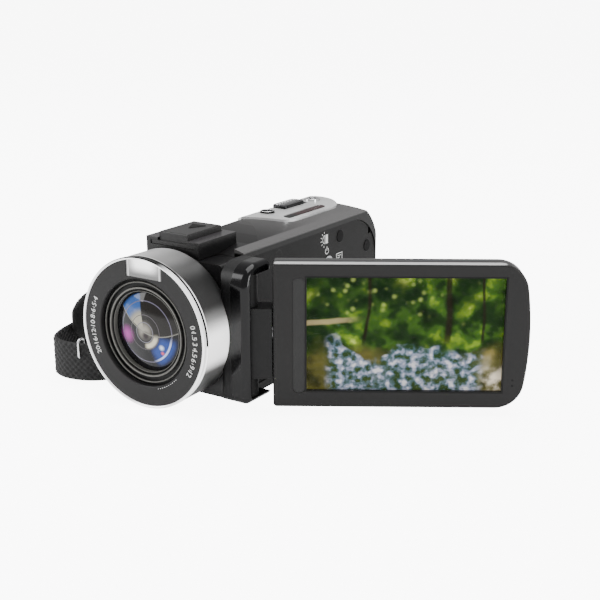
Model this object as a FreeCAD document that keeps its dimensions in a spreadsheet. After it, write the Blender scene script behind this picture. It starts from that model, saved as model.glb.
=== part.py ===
import FreeCAD, Part
import Sketcher
import math
import os
import re

# Hand-held camcorder. Millimetres, +Z up, the lens looks along -Y, the screen side is +X.
# The origin is the mouth of the tripod thread, in the plane of the feet.

doc = FreeCAD.newDocument("camcorder")
sheet = doc.addObject("Spreadsheet::Sheet", "dims")

DIMENSIONS = {
    # body
    "lens_z": 28, "front_y": -60, "floor_z": 0.5, "wall": 1.8, "floor_wall": 2.6,
    "side_x": 21.8, "split_x": 18, "grip_x": -24, "crown_z": 55.6, "crown_round": 68,
    "grip_round": 38, "grip_round_x": 14, "grip_round_z": 21, "rear_y": 61.6, "rear_round": 23, "rear_low_round": 4,
    "rear_split_y": 50, "shell_y": -21, "side_front_y": -31.8, "panel_inset": 3.0,
    # lens
    "collar_y": -44, "barrel_radius": 25.7, "rim_radius": 26, "rim_inner": 25.2, "face_y": -59.4,
    "mouth_radius": 18.5, "glass_radius": 13.9,
    # shoe
    "shoe_half": 11.2, "shoe_y": -42.5, "shoe_length": 21.2, "shoe_z": 50.9, "shoe_height": 5.7,
    "shoe_gap_half": 6.25, "shoe_slot_half": 9.4,
    # hinge pod
    "pod_x": 32.8, "pod_y": -46, "pod_rear_y": -32.4, "pod_z": 4.5, "pod_top": 52,
    "hinge_x": 28.5, "hinge_y": -39.2, "open_angle": 58.5, "knuckle_radius": 4.1,
    "block_z": 13, "block_top": 37.2, "block_reach": 8.1, "pin_radius": 1.5, "shaft_radius": 2.0,
    "running_gap": 0.05,
    # screen panel, laid out closed against the body
    "panel_start": 8.4, "panel_length": 84.3, "panel_mid_z": 27.9, "panel_height": 49.6,
    "panel_thick": 8.4, "panel_round": 9.5, "view_start": 19.5, "view_length": 64.6,
    "view_height": 39, "skin": 1.5,
    # controls
    "travel": 0.6, "door_x": -10, "door_width": 24, "door_y": 10, "door_thick": 1.6,
    "plate_x": -7, "plate_right": 14, "plate_y": -1, "plate_rear_y": 49, "plate_proud": 0.8,
    # strap
    "strap_thick": 1.6, "strap_width": 14, "pad_thick": 4,
}
for row, (alias, value) in enumerate(DIMENSIONS.items(), 1):
    sheet.set("A%d" % row, alias)
    sheet.set("B%d" % row, str(value))
    sheet.setAlias("B%d" % row, alias)
doc.recompute()


def cell(alias):
    return float(sheet.get(alias))


def bind(item, prop, text):
    """Drive a property by an expression in which sheet aliases stand as bare words."""
    words = lambda found: "dims." + found.group() if found.group() in DIMENSIONS else found.group()
    item.setExpression(prop, re.sub(r"[a-z_]+", words, str(text)))


def place(item, at):
    for axis, text in zip("xyz", at):
        bind(item, "Placement.Base." + axis, text)
    return item


def box(name, low, size):
    item = doc.addObject("Part::Box", name)
    for prop, text in zip(("Length", "Width", "Height"), size):
        bind(item, prop, text)
    return place(item, low)


TURNS = {"x": FreeCAD.Rotation(FreeCAD.Vector(0, 1, 0), 90),
         "y": FreeCAD.Rotation(FreeCAD.Vector(1, 0, 0), -90),
         "z": FreeCAD.Rotation()}


def rod(name, axis, start, radius, length):
    item = doc.addObject("Part::Cylinder", name)
    item.Placement = FreeCAD.Placement(FreeCAD.Vector(), TURNS[axis])
    bind(item, "Radius", radius)
    bind(item, "Height", length)
    return place(item, start)


def ball(name, centre, radius):
    item = doc.addObject("Part::Sphere", name)
    bind(item, "Radius", radius)
    return place(item, centre)


def cut(name, base, *tools):
    item = doc.addObject("Part::Cut", name)
    item.Base = base
    item.Tool = tools[0] if len(tools) == 1 else fuse(name + "_tools", *tools)
    return item


def fuse(name, *shapes):
    item = doc.addObject("Part::MultiFuse", name)
    item.Shapes = list(shapes)
    return item


def common(name, *shapes):
    item = doc.addObject("Part::MultiCommon", name)
    item.Shapes = list(shapes)
    return item


def group(name, *shapes):
    item = doc.addObject("Part::Compound", name)
    item.Links = list(shapes)
    return item


def along(edge, axis):
    """True for a straight edge that runs along the axis."""
    if not isinstance(edge.Curve, (Part.Line, Part.LineSegment)):
        return False
    step = edge.Vertexes[-1].Point - edge.Vertexes[0].Point
    return abs(abs(step["xyz".index(axis)]) - step.Length) < 1e-6


def rounded(name, base, *choices):
    """Fillet edges. A choice is (radius, test), and the test reads the edge and its middle."""
    doc.recompute()
    picked = []
    for number, edge in enumerate(base.Shape.Edges, 1):
        for radius, test in choices:
            if test(edge, edge.BoundBox.Center):
                picked.append((number, radius, radius))
                break
    item = doc.addObject("Part::Fillet", name)
    item.Base = base
    item.Edges = picked
    return item


def outline(name, plane, corners, start, length):
    """A PartDesign pad of a polygon whose corners are bound to the sheet."""
    body = doc.addObject("PartDesign::Body", name)
    sketch = body.newObject("Sketcher::SketchObject", name + "_sketch")
    sketch.AttachmentSupport = [item for item in body.Origin.OriginFeatures if item.Role == plane][0]
    sketch.MapMode = "FlatFace"
    count = len(corners)
    ring = [FreeCAD.Vector(30 * math.cos(2 * math.pi * i / count), 30 * math.sin(2 * math.pi * i / count), 0)
            for i in range(count)]
    for i in range(count):
        sketch.addGeometry(Part.LineSegment(ring[i], ring[(i + 1) % count]))
    for i in range(count):
        sketch.addConstraint(Sketcher.Constraint("Coincident", i, 2, (i + 1) % count, 1))
    for i, (across, up) in enumerate(corners):
        for kind, text in (("DistanceX", across), ("DistanceY", up)):
            number = sketch.addConstraint(Sketcher.Constraint(kind, -1, 1, i, 1, 10.0))
            bind(sketch, "Constraints[%d]" % number, text)
    pad = body.newObject("PartDesign::Pad", name + "_pad")
    pad.Profile = sketch
    bind(pad, "Length", length)
    pad.Reversed = plane == "XZ_Plane"
    normal = {"XY_Plane": "z", "XZ_Plane": "y", "YZ_Plane": "x"}[plane]
    bind(body, "Placement.Base." + normal, start)
    return body


def turned(name, profile):
    """A ring turned about the lens axis from (radius, y) corners."""
    body = doc.addObject("PartDesign::Body", name)
    sketch = body.newObject("Sketcher::SketchObject", name + "_sketch")
    sketch.AttachmentSupport = [item for item in body.Origin.OriginFeatures if item.Role == "XY_Plane"][0]
    sketch.MapMode = "FlatFace"
    count = len(profile)
    ring = [FreeCAD.Vector(60 + 20 * math.cos(2 * math.pi * i / count), 20 * math.sin(2 * math.pi * i / count), 0)
            for i in range(count)]
    for i in range(count):
        sketch.addGeometry(Part.LineSegment(ring[i], ring[(i + 1) % count]))
    for i in range(count):
        sketch.addConstraint(Sketcher.Constraint("Coincident", i, 2, (i + 1) % count, 1))
    for i, (radius, y) in enumerate(profile):
        for kind, text in (("DistanceX", radius), ("DistanceY", y)):
            number = sketch.addConstraint(Sketcher.Constraint(kind, -1, 1, i, 1, 10.0))
            bind(sketch, "Constraints[%d]" % number, text)
    turn = body.newObject("PartDesign::Revolution", name + "_turn")
    turn.Profile = sketch
    turn.ReferenceAxis = (sketch, ["V_Axis"])
    turn.Angle = 360
    bind(body, "Placement.Base.z", "lens_z")
    return body


PARTS = {}


def keep(name, item):
    """Record a finished sub-part under the name of its node."""
    item.Label = name
    PARTS[name] = item
    return item


# ---- body form: crown, grip and rear corner cut from one block -------------------------------
def body_form(name, inset, floor, front, rear_inset):
    """The closed outside of the body, or with an inset the hollow inside it."""
    reach = "rear_y - %s - (%s)" % (rear_inset, front)
    block = box(name + "_block", ("grip_x + %s" % inset, front, "floor_z + %s" % floor),
                ("side_x - grip_x - 2 * %s" % inset, reach, "crown_z + 1 - %s - floor_z - %s" % (inset, floor)))
    corner = cell("rear_round") - (cell("wall") if rear_inset != "0" else 0)
    top_rear = lambda edge, at: along(edge, "x") and at.y > 50 and at.z > 40
    low_rear = lambda edge, at: along(edge, "x") and at.y > 50 and at.z < 10
    upright = lambda edge, at: along(edge, "z") and at.y > 50
    soft = rounded(name + "_soft", block, (corner, top_rear), (cell("rear_low_round"), low_rear),
                   (2.0, upright))
    crown = rod(name + "_crown", "y", ("1", front, "crown_z - crown_round"), "crown_round - %s" % inset, reach)
    grip = rod(name + "_grip", "y", ("grip_round_x", front, "grip_round_z"), "grip_round - %s" % inset, reach)
    return common(name, soft, crown, grip)


outer = body_form("outer", "0", "0", "side_front_y", "0")
inner = body_form("inner", "wall", "floor_wall", "side_front_y - 5", "wall")

def zone(name, low, high):
    return box(name, low, ["(%s) - (%s)" % (b, a) for a, b in zip(low, high)])


main_zone = zone("main_zone", ("-60", "shell_y", "-10"), ("split_x", "rear_split_y", "90"))
rear_zone = zone("rear_zone", ("-60", "rear_split_y", "-10"), ("split_x", "90", "90"))
side_zone = zone("side_zone", ("split_x", "side_front_y", "-10"), ("90", "90", "90"))
front_zone = zone("front_zone", ("-60", "side_front_y", "-10"), ("split_x", "shell_y", "90"))

# battery door opening and its side grooves, open at the rear
door_gap = zone("door_gap", ("door_x", "door_y", "-5"), ("door_x + door_width", "80", "floor_z + floor_wall + 1"))
door_groove = zone("door_groove", ("door_x - 1", "door_y", "floor_z + 0.7"),
                   ("door_x + door_width + 1", "80", "floor_z + 1.5"))
insert_hole = rod("insert_hole", "z", ("0", "0", "-1"), "5.5", "7.5")
boss = rod("boss", "z", ("0", "0", "floor_z"), "7.5", "6")

# ramp of the top down to the shoe, and the recess of the control plate
FALL = (("side_front_y - 2.2", "shoe_z - 0.5"), ("shell_y", "crown_z - 2.8"), ("shell_y + 7", "crown_z - 1.4"),
        ("shell_y + 15", "crown_z - 0.3"), ("shell_y + 26", "crown_z + 0.5"))
ramp = outline("ramp", "YZ_Plane", FALL + (("shell_y + 26", "90"), ("side_front_y - 2.2", "90")),
               "-60", "split_x + 60")
ramp_plate = outline("ramp_plate", "YZ_Plane", FALL[:4] + tuple((y, "(%s) - wall" % z) for y, z in FALL[3::-1]),
                     "-60", "split_x + 60")


def plate_form(name, gap):
    """Plan of the raised control plate: round at the rear, drawn to a tip in front."""
    block = outline(name + "_plan", "XY_Plane",
                    (("plate_x + 3 - %s" % gap, "plate_y - %s" % gap),
                     ("plate_right + %s" % gap, "plate_y + 9 - %s" % gap),
                     ("plate_right + %s" % gap, "plate_rear_y + %s" % gap),
                     ("plate_x - %s" % gap, "plate_rear_y + %s" % gap),
                     ("plate_x - %s" % gap, "plate_y + 12")), "40", "30")
    tail = lambda edge, at: along(edge, "z") and at.y > 45
    shoulder = lambda edge, at: along(edge, "z") and at.x > 10
    tip = lambda edge, at: along(edge, "z")
    return rounded(name, block, (10.0, tail), (9, shoulder), (2.5, tip))


plate_recess = plate_form("plate_recess", "0.1")
recess_floor = common("recess_floor", rod("recess_crown", "y", ("1", "-80", "crown_z - crown_round"),
                                          "crown_round - 0.9", "200"),
                      rod("recess_grip", "y", ("grip_round_x", "-80", "grip_round_z"), "grip_round - 0.9", "200"))
recess = cut("recess", plate_recess, recess_floor)

# control holes through the top
photo_x, photo_y = "1.5", "12"
rocker_y, mode_x, mode_y = "28", "2.5", "42"
photo_hole = rod("photo_hole", "z", (photo_x, photo_y, "45"), "2.9", "20")
rocker_hole = box("rocker_hole", ("-3.2", rocker_y + " - 8.2", "50"), ("7.4", "16.4", "20"))
mode_hole = rod("mode_hole", "z", (mode_x, mode_y, "45"), "3.2", "20")
top_holes = (photo_hole, rocker_hole, mode_hole)

shell_body = fuse("shell_body", cut("shell_wall", common("shell_block", outer, main_zone), inner),
                  common("boss_in_body", boss, outer), common("ramp_floor", ramp_plate, outer, main_zone))
SCREWS = (("-13", "-12"), ("14.5", "-8"), ("-13.5", "40"), ("16.5", "30"))
screw_wells = [rod("screw_well_%d" % i, "z", (x, y, "floor_z - 1"), "1.3", "2.2") for i, (x, y) in enumerate(SCREWS)]
keep("main_shell", cut("main_shell", shell_body, ramp, recess, door_gap, door_groove, insert_hole,
                       *top_holes, *screw_wells))
keep("base_screws", group("base_screws", *[rod("base_screw_%d" % i, "z", (x, y, "floor_z + 0.3"), "1.3", "0.9")
                                           for i, (x, y) in enumerate(SCREWS)]))

record_hole = rod("record_hole", "y", ("-11", "45", "30"), "5.2", "30")
port_hole = box("port_hole", ("-1", "rear_y - 4", "9"), ("15", "8", "20"))
flap_pin_hole = rod("flap_pin_hole", "x", ("-2.4", "rear_y - 0.8", "10.8"), "0.5", "17.8")
keep("rear_cover", cut("rear_cover", common("rear_block", outer, rear_zone), inner, recess, door_gap,
                       door_groove, record_hole, port_hole, flap_pin_hole))

# ---- screen-side cover with its inlaid panel ---------------------------------------------------
def side_form(name, inset, start, end):
    """Side profile of the cover, drawn in by an inset, between two x planes."""
    block = box(name + "_block", (start, "side_front_y + 2", "floor_z + %s" % inset),
                ("(%s) - (%s)" % (end, start), "rear_y - side_front_y - 2 - 0.35 * (%s)" % inset,
                 "52.6 - floor_z - 1.8 * (%s)" % inset))
    top_rear = lambda edge, at: along(edge, "x") and at.y > 50 and at.z > 30
    return rounded(name, block, (cell("rear_round") - 4, top_rear))


side_recess = side_form("side_recess", "panel_inset", "side_x - 1.6", "side_x + 5")
SIDE_BUTTONS = {"light_button": ("32", "45.8", "2.3"), "playback_button": ("53", "37.9", "2.3"),
                "power_button": ("23.5", "36.6", "3.2"), "display_button": ("33.5", "33.5", "2.6")}
side_holes = [rod(name + "_hole", "x", ("split_x - 1", y, z), radius + " + 0.15", "10")
              for name, (y, z, radius) in SIDE_BUTTONS.items()]
keep("side_cover", cut("side_cover", common("side_block", outer, side_zone), side_recess, *side_holes))
side_plate = side_form("side_plate", "panel_inset + 0.15", "side_x - 1.6", "side_x - 0.4")
lanyard_slot = box("lanyard_slot", ("side_x - 3", "54", "42.6"), ("6", "1.8", "3.6"))
keep("side_panel", cut("side_panel", side_plate, lanyard_slot, *side_holes))

for name, (y, z, radius) in SIDE_BUTTONS.items():
    stem = rod(name + "_stem", "x", ("split_x + 0.2", y, z), radius, "side_x - 0.2 - split_x - 0.2")
    flange = rod(name + "_flange", "x", ("split_x - 1.2", y, z), radius + " + 0.8", "0.9")
    neck = rod(name + "_neck", "x", ("split_x - 0.5", y, z), radius + " - 0.3", "1")
    keep(name, fuse(name, stem, flange, neck))

# ---- lens housing and front shell ----------------------------------------------------------------
neck_tube = rod("neck_tube", "y", ("0", "collar_y", "lens_z"), "barrel_radius - 0.4", "shell_y - collar_y")
chin = box("chin", ("-19", "collar_y + 7", "floor_z"), ("19 + split_x", "shell_y - collar_y - 7", "30"))
chin_soft = rounded("chin_soft", chin,
                    (6, lambda edge, at: along(edge, "x") and at.y < -30 and at.z < 5),
                    (8, lambda edge, at: along(edge, "y") and at.x < 0 and at.z < 5))
cheek = box("cheek", ("0", "collar_y + 0.2", "pod_z"),
            ("side_x", "side_front_y - collar_y - 0.2", "shoe_z - 0.2 - pod_z"))
cheek_soft = rounded("cheek_soft", cheek,
                     (1.5, lambda edge, at: along(edge, "y") and at.x > 5 and at.z > 30))
front_block = fuse("front_block", neck_tube, chin_soft, cheek_soft, common("front_slab", outer, front_zone))
front_bore = rod("front_bore", "y", ("0", "-70", "lens_z"), "barrel_radius - 2.2", "80")
shoe_flat = zone("shoe_flat", ("-shoe_half - 0.1", "-70", "shoe_z"), ("shoe_half + 0.1", "shell_y", "90"))
neck_flat = zone("neck_flat", ("-30", "-70", "shoe_z"), ("30", "side_front_y", "90"))
pod_block = box("pod_block", ("side_x", "pod_y", "pod_z"),
                ("pod_x - side_x", "pod_rear_y - pod_y", "pod_top - pod_z"))
pod_space = zone("pod_space", ("side_x", "pod_y", "-10"), ("90", "shell_y", "90"))
keep("front_shell", cut("front_shell", front_block, front_bore, shoe_flat, neck_flat, ramp,
                        pod_space, side_zone))

keep("lens_ring", turned("lens_ring", (("rim_inner - 1.2", "collar_y"), ("barrel_radius", "collar_y"),
                                       ("rim_radius - 0.15", "front_y + 2.6"), ("rim_inner + 0.1", "front_y + 1.9"),
                                       ("rim_inner - 1.2", "front_y + 1.9"))))
keep("ring_trim", turned("ring_trim", (("rim_inner", "front_y + 0.25"), ("rim_inner + 0.3", "front_y"),
                                       ("rim_radius - 0.3", "front_y"), ("rim_radius", "front_y + 0.4"),
                                       ("rim_radius", "front_y + 1.5"), ("rim_inner", "front_y + 1.8"))))
face_disc = turned("face_disc", (("mouth_radius", "face_y + 0.3"), ("mouth_radius + 0.3", "face_y"),
                                 ("rim_inner", "face_y"), ("rim_inner", "face_y + 1.25"),
                                 ("rim_inner - 1.3", "face_y + 1.25"), ("rim_inner - 1.3", "face_y + 2"),
                                 ("mouth_radius", "face_y + 2")))
light_gap = box("light_gap", ("-6.1", "face_y - 1", "lens_z + mouth_radius + 0.4"),
                ("15", "4", "rim_inner - mouth_radius + 1"))
keep("face_ring", cut("face_ring", face_disc, light_gap))
window_block = box("window_block", ("-6.0", "face_y + 0.2", "lens_z + mouth_radius + 0.5"),
                   ("14.8", "1.05", "rim_inner - mouth_radius"))
window_bound = rod("window_bound", "y", ("0", "-70", "lens_z"), "rim_inner - 0.1", "30")
keep("light_window", common("light_window", window_block, window_bound))
board_ring = box("board_ring", ("-8", "face_y + 2.2", "lens_z + mouth_radius + 1"), ("16", "1", "3"))
led_chips = [box("led_%d" % i, ("%g - 0.9" % (4.4 * (i - 1)), "face_y + 1.7", "lens_z + mouth_radius + 2"),
                 ("1.8", "0.5", "1.8")) for i in range(3)]
keep("light_board", fuse("light_board", board_ring, *led_chips))

MOUTH = (("mouth_radius + 0.9", 2.05), ("mouth_radius - 0.1", 2.05), ("17.5", 1.9), ("17.35", 1.2), ("17.0", 1.2),
         ("16.8", 2.2), ("15.6", 2.2), ("15.4", 1.3), ("14.9", 1.3), ("14.7", 2.4), ("14.3", 2.4), ("14.1", 1.8),
         ("glass_radius", 1.8), ("glass_radius", 3.4), ("14.7", 3.4))
mouth = [(radius, "face_y + %g" % depth) for radius, depth in MOUTH]
mouth += [("14.7", "collar_y"), ("mouth_radius + 0.9", "collar_y")]
keep("lens_baffle", turned("lens_baffle", mouth))


def lens(name, radius, ball_radius, apex, thick):
    """A plano-convex lens, its dome towards the front."""
    edge = rod(name + "_edge", "y", ("0", apex, "lens_z"), radius, thick)
    dome = ball(name + "_dome", ("0", "(%s) + %s" % (apex, ball_radius), "lens_z"), ball_radius)
    return keep(name, common(name, edge, dome))


lens("front_lens", "glass_radius + 0.7", "40", "face_y + 1", "6")
lens("second_lens", "10.9", "19", "face_y + 9.5", "5")
lens("rear_lens", "6.3", "11", "face_y + 17.5", "5")
barrel_core = turned("barrel_core", (("10.9", "face_y + 8.6"), ("14.6", "face_y + 7.6"), ("14.6", "face_y + 30"),
                                     ("6.3", "face_y + 30"), ("6.3", "face_y + 16"), ("10.9", "face_y + 15.6")))
keep("lens_cell", barrel_core)
sensor_plate = box("sensor_plate", ("-13", "face_y + 30.1", "lens_z - 12"), ("26", "1.6", "24"))
sensor_chip = box("sensor_chip", ("-4.5", "face_y + 28.9", "lens_z - 3.5"), ("9", "1.2", "7"))
keep("sensor_board", fuse("sensor_board", sensor_plate, sensor_chip))

# ---- accessory shoe ----------------------------------------------------------------------------------
shoe_block = box("shoe_block", ("-shoe_half", "shoe_y", "shoe_z"), ("2 * shoe_half", "shoe_length", "shoe_height"))
shoe_slot = box("shoe_slot", ("-shoe_slot_half", "shoe_y - 1", "shoe_z + 3.2"), ("2 * shoe_slot_half", "shoe_length", "1.5"))
shoe_gap = box("shoe_gap", ("-shoe_gap_half", "shoe_y - 1", "shoe_z + 3.2"), ("2 * shoe_gap_half", "shoe_length", "5"))
shoe_notch = box("shoe_notch", ("-2.6", "shoe_y - 1", "shoe_z + 0.3"), ("3.2", "2", "1.4"))
keep("shoe", cut("shoe", shoe_block, shoe_slot, shoe_gap, shoe_notch))
cover_base = box("cover_base", ("0.2 - shoe_slot_half", "shoe_y + 0.3", "shoe_z + 3.3"),
                 ("2 * shoe_slot_half - 0.4", "shoe_length - 1.6", "1.3"))
cover_pad = box("cover_pad", ("0.2 - shoe_gap_half", "shoe_y + 0.8", "shoe_z + 3.3"),
                ("2 * shoe_gap_half - 0.4", "shoe_length - 2.4", "4.5"))
pad_soft = rounded("pad_soft", cover_pad, (0.5, lambda edge, at: at.z > cell("shoe_z") + 7))
keep("shoe_cover", fuse("shoe_cover", cover_base, pad_soft))

# ---- hinge pod -------------------------------------------------------------------------------------------
pod_soft = rounded("pod_soft", pod_block,
                   (8.0, lambda edge, at: along(edge, "x") and at.y < -40 and at.z > 40),
                   (2.5, lambda edge, at: along(edge, "x") and at.y < -40 and at.z < 10),
                   (2.0, lambda edge, at: along(edge, "z") and at.x < 25 and at.y < -40))
pod_arch = rounded("pod_arch", pod_soft, (2.4, lambda edge, at: edge.BoundBox.XMin > cell("pod_x") - 0.01
                                          and at.y < cell("pod_rear_y") - 0.01))
pocket = box("pocket", ("hinge_x - knuckle_radius - 0.3", "hinge_y - knuckle_radius - 0.3", "pod_z + 1.6"),
             ("20", "30", "pod_top - pod_z - 4.8"))
pocket_soft = rounded("pocket_soft", pocket, (1.2, lambda edge, at: along(edge, "x") and at.y < -40))
pin_bore = rod("pin_bore", "z", ("hinge_x", "hinge_y", "0"), "pin_radius", "50.5")
ring_gap = rod("ring_gap", "y", ("0", "pod_y - 1", "lens_z"), "barrel_radius + 0.1", "collar_y - pod_y + 1")
keep("hinge_pod", cut("hinge_pod", pod_arch, pocket_soft, pin_bore, ring_gap))
keep("hinge_pin", rod("hinge_pin", "z", ("hinge_x", "hinge_y", "pod_z + 0.4"), "pin_radius", "45.4"))
ear_low = rod("ear_low", "z", ("hinge_x", "hinge_y", "pod_z + 1.7"), "3.4", "block_z - pod_z - 1.9")
ear_high = rod("ear_high", "z", ("hinge_x", "hinge_y", "block_top + 0.2"), "3.4", "pod_top - block_top - 3.6")
ear_bore = rod("ear_bore", "z", ("hinge_x", "hinge_y", "0"), "pin_radius", "60")
keep("hinge_collars", cut("hinge_collars", group("ears", ear_low, ear_high), ear_bore))


def swing(name, item):
    """Turn a piece that is laid out closed about the hinge pin to its stored opening."""
    held = group(name + "_held", item) if item.ExpressionEngine else item
    held.Placement.Rotation = FreeCAD.Rotation(FreeCAD.Vector(0, 0, -1), cell("open_angle"))
    bind(held, "Placement.Rotation.Angle", "open_angle")
    bind(held, "Placement.Base.x", "hinge_x - hinge_x * cos(open_angle * 1deg) - hinge_y * sin(open_angle * 1deg)")
    bind(held, "Placement.Base.y", "hinge_y + hinge_x * sin(open_angle * 1deg) - hinge_y * cos(open_angle * 1deg)")
    return keep(name, held)


knuckle = rod("knuckle", "z", ("hinge_x", "hinge_y", "block_z"), "knuckle_radius", "block_top - block_z")
arm = box("arm", ("hinge_x - knuckle_radius", "hinge_y", "block_z"),
          ("2 * knuckle_radius", "block_reach", "block_top - block_z"))
knuckle_bore = rod("knuckle_bore", "z", ("hinge_x", "hinge_y", "0"), "pin_radius + running_gap", "60")
shaft_bore = rod("shaft_bore", "y", ("hinge_x", "hinge_y + pin_radius + 0.6", "panel_mid_z"),
                 "shaft_radius + running_gap", "20")
swing("hinge_block", cut("hinge_block_solid", fuse("block_form", knuckle, arm), knuckle_bore, shaft_bore))

# ---- screen panel ----------------------------------------------------------------------------------------
panel_y = "hinge_y + panel_start"
panel_low = "panel_mid_z - panel_height / 2"


def panel_form(name, inset, start, thick):
    """The panel's outline, drawn in by an inset: square at the hinge, bowed and round at the far end."""
    block = box(name + "_block", (start, "%s + %s" % (panel_y, inset), "%s + %s" % (panel_low, inset)),
                (thick, "panel_length - 2 * %s" % inset, "panel_height - 2 * %s" % inset))
    bow = rod(name + "_bow", "x", (start, "%s + panel_length - 110" % panel_y, "panel_mid_z"), "110 - %s" % inset, thick)
    bowed = common(name + "_bowed", block, bow)
    far = lambda edge, at: along(edge, "x") and at.y > 30
    near = lambda edge, at: along(edge, "x")
    radius = cell("panel_round") - (0 if inset == "0" else cell("skin"))
    return rounded(name, bowed, (radius, far), (1.2, near))


panel_back = "hinge_x - panel_thick / 2"
view_low = "panel_mid_z + 0.6 - view_height / 2"
view_y = "hinge_y + view_start"
back_form = panel_form("back_form", "0", panel_back, "panel_thick / 2")
back_edge = rounded("back_edge", back_form,
                    (1.2, lambda edge, at: abs(at.x - cell("hinge_x") + cell("panel_thick") / 2) < 0.01))
back_hollow = panel_form("back_hollow", "skin", panel_back + " + skin", "panel_thick")
shaft_socket = rod("shaft_socket", "y", ("hinge_x", "hinge_y", "panel_mid_z"), "shaft_radius", "20")
SCREW_RISES = (-20, 20)
back_screws = [rod("back_screw_%d" % i, "x", (panel_back + " - 0.05", panel_y + " + 4.5", "panel_mid_z + %g" % rise),
                   "1.3", "1.2") for i, rise in enumerate(SCREW_RISES)]
screw_seats = [rod("back_seat_%d" % i, "x", (panel_back + " - 1", panel_y + " + 4.5", "panel_mid_z + %g" % rise),
                   "1.3", "2.15") for i, rise in enumerate(SCREW_RISES)]
swing("screen_back", cut("screen_back_solid", back_edge, back_hollow, shaft_socket, *screw_seats))
front_form = panel_form("front_form", "0", "hinge_x", "panel_thick / 2")
front_edge = rounded("front_edge", front_form,
                     (0.7, lambda edge, at: abs(at.x - cell("hinge_x") - cell("panel_thick") / 2) < 0.01))
front_hollow = panel_form("front_hollow", "skin", "hinge_x - 1", "panel_thick / 2 - skin + 1")
view_cut = box("view_cut", ("hinge_x", view_y, view_low), ("20", "view_length", "view_height"))
strip_cut = box("strip_cut", ("hinge_x + panel_thick / 2 - 0.5", "hinge_y + 14.9", "panel_mid_z - 19.8"), ("2", "4.2", "39.6"))
strip_cut_soft = rounded("strip_cut_soft", strip_cut, (1.8, lambda edge, at: along(edge, "x")))
swing("screen_bezel", cut("screen_bezel_solid", front_edge, front_hollow, view_cut, strip_cut_soft, shaft_socket))
strip = box("strip", ("hinge_x + panel_thick / 2 - 0.5", "hinge_y + 15", "panel_mid_z - 19.7"), ("0.35", "4", "39.4"))
swing("bezel_strip", rounded("bezel_strip_solid", strip, (1.7, lambda edge, at: along(edge, "x"))))
swing("screen_display", box("display_block", ("hinge_x - 0.6", view_y + " - 1", view_low + " - 1"),
                            ("3", "view_length + 2", "view_height + 2")))
swing("screen_glass", box("glass_block", ("hinge_x + 2.75", view_y + " + 0.1", view_low + " + 0.1"),
                          ("1.15", "view_length - 0.2", "view_height - 0.2")))
shaft = rod("shaft", "y", ("hinge_x", "hinge_y + 2.6", "panel_mid_z"), "shaft_radius", "10")
shaft_stop = rod("shaft_stop", "y", ("hinge_x", "hinge_y + panel_start + skin", "panel_mid_z"), "2.5", "1.6")
swing("flip_shaft", fuse("flip_shaft_solid", shaft, shaft_stop))
swing("screen_screws", group("screen_screws_solid", *back_screws))

# ---- top controls --------------------------------------------------------------------------------------------
plate_block = plate_form("plate_block", "0")
plate_top = rod("plate_top", "y", ("1", "-80", "crown_z - crown_round"), "crown_round + plate_proud", "200")
plate_grip = rod("plate_grip", "y", ("grip_round_x", "-80", "grip_round_z"), "grip_round + plate_proud", "200")
plate_solid = cut("plate_solid", common("plate_slab", plate_block, plate_top, plate_grip), recess_floor)
window_gap = box("window_gap", ("8.9", "10.6", "50"), ("3.2", "26.6", "20"))
window_gap_soft = rounded("window_gap_soft", window_gap, (1.55, lambda edge, at: along(edge, "z")))
keep("top_plate", cut("top_plate", plate_solid, window_gap_soft, *top_holes))
window_bar = box("window_bar", ("9.0", "10.7", "crown_z - 1.8"), ("3", "26.4", "1.9"))
window_soft = rounded("window_soft", window_bar, (1.45, lambda edge, at: along(edge, "z")))
keep("indicator_window", cut("indicator_window", window_soft, recess_floor))
photo_top = rod("photo_top", "z", (photo_x, photo_y, "50"), "2.7", "crown_z + 1.4 - 50")
photo_flange = rod("photo_flange", "z", (photo_x, photo_y, "51.3"), "3.8", "1.0")
keep("photo_button", fuse("photo_button", photo_top, photo_flange))
rocker_bar = box("rocker_bar", ("-2.9", rocker_y + " - 7.6", "crown_z - 0.4"), ("6.8", "15.2", "2.2"))
rocker_soft = rounded("rocker_soft", rocker_bar, (2.6, lambda edge, at: along(edge, "z")),
                      (0.6, lambda edge, at: at.z > cell("crown_z") + 1.5))
rocker_web = box("rocker_web", ("-1.5", rocker_y + " - 2", "crown_z - 5"), ("4", "4", "5.5"))
rocker_bore = rod("rocker_bore", "x", ("-20", rocker_y, "crown_z - 3.4"), "1.0 + running_gap", "40")
keep("zoom_rocker", cut("zoom_rocker", fuse("rocker_form", rocker_soft, rocker_web), rocker_bore))
rocker_ears = [box("rocker_ear_%d" % i, (x, rocker_y + " - 2.5", "crown_z - 6.4"), ("1.1", "5", "4.4"))
               for i, x in enumerate(("-3.0", "2.9"))]
rocker_strap = box("rocker_strap", ("-7.6", rocker_y + " - 2.5", "crown_z - 6.4"), ("15.2", "5", "1"))
ear_hole = rod("ear_hole", "x", ("-20", rocker_y, "crown_z - 3.4"), "1.0", "40")
strap_inside = common("strap_inside", rocker_strap, inner)
keep("rocker_bracket", cut("rocker_bracket", fuse("bracket_form", strap_inside, *rocker_ears), ear_hole))
keep("rocker_pin", rod("rocker_pin", "x", ("-3.0", rocker_y, "crown_z - 3.4"), "1.0", "7"))
mode_top = rod("mode_top", "z", (mode_x, mode_y, "50"), "3.0", "crown_z + 1.2 - 50")
mode_flange = rod("mode_flange", "z", (mode_x, mode_y, "50"), "4.0", "1.0")
keep("mode_button", fuse("mode_button", mode_top, mode_flange))

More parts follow.
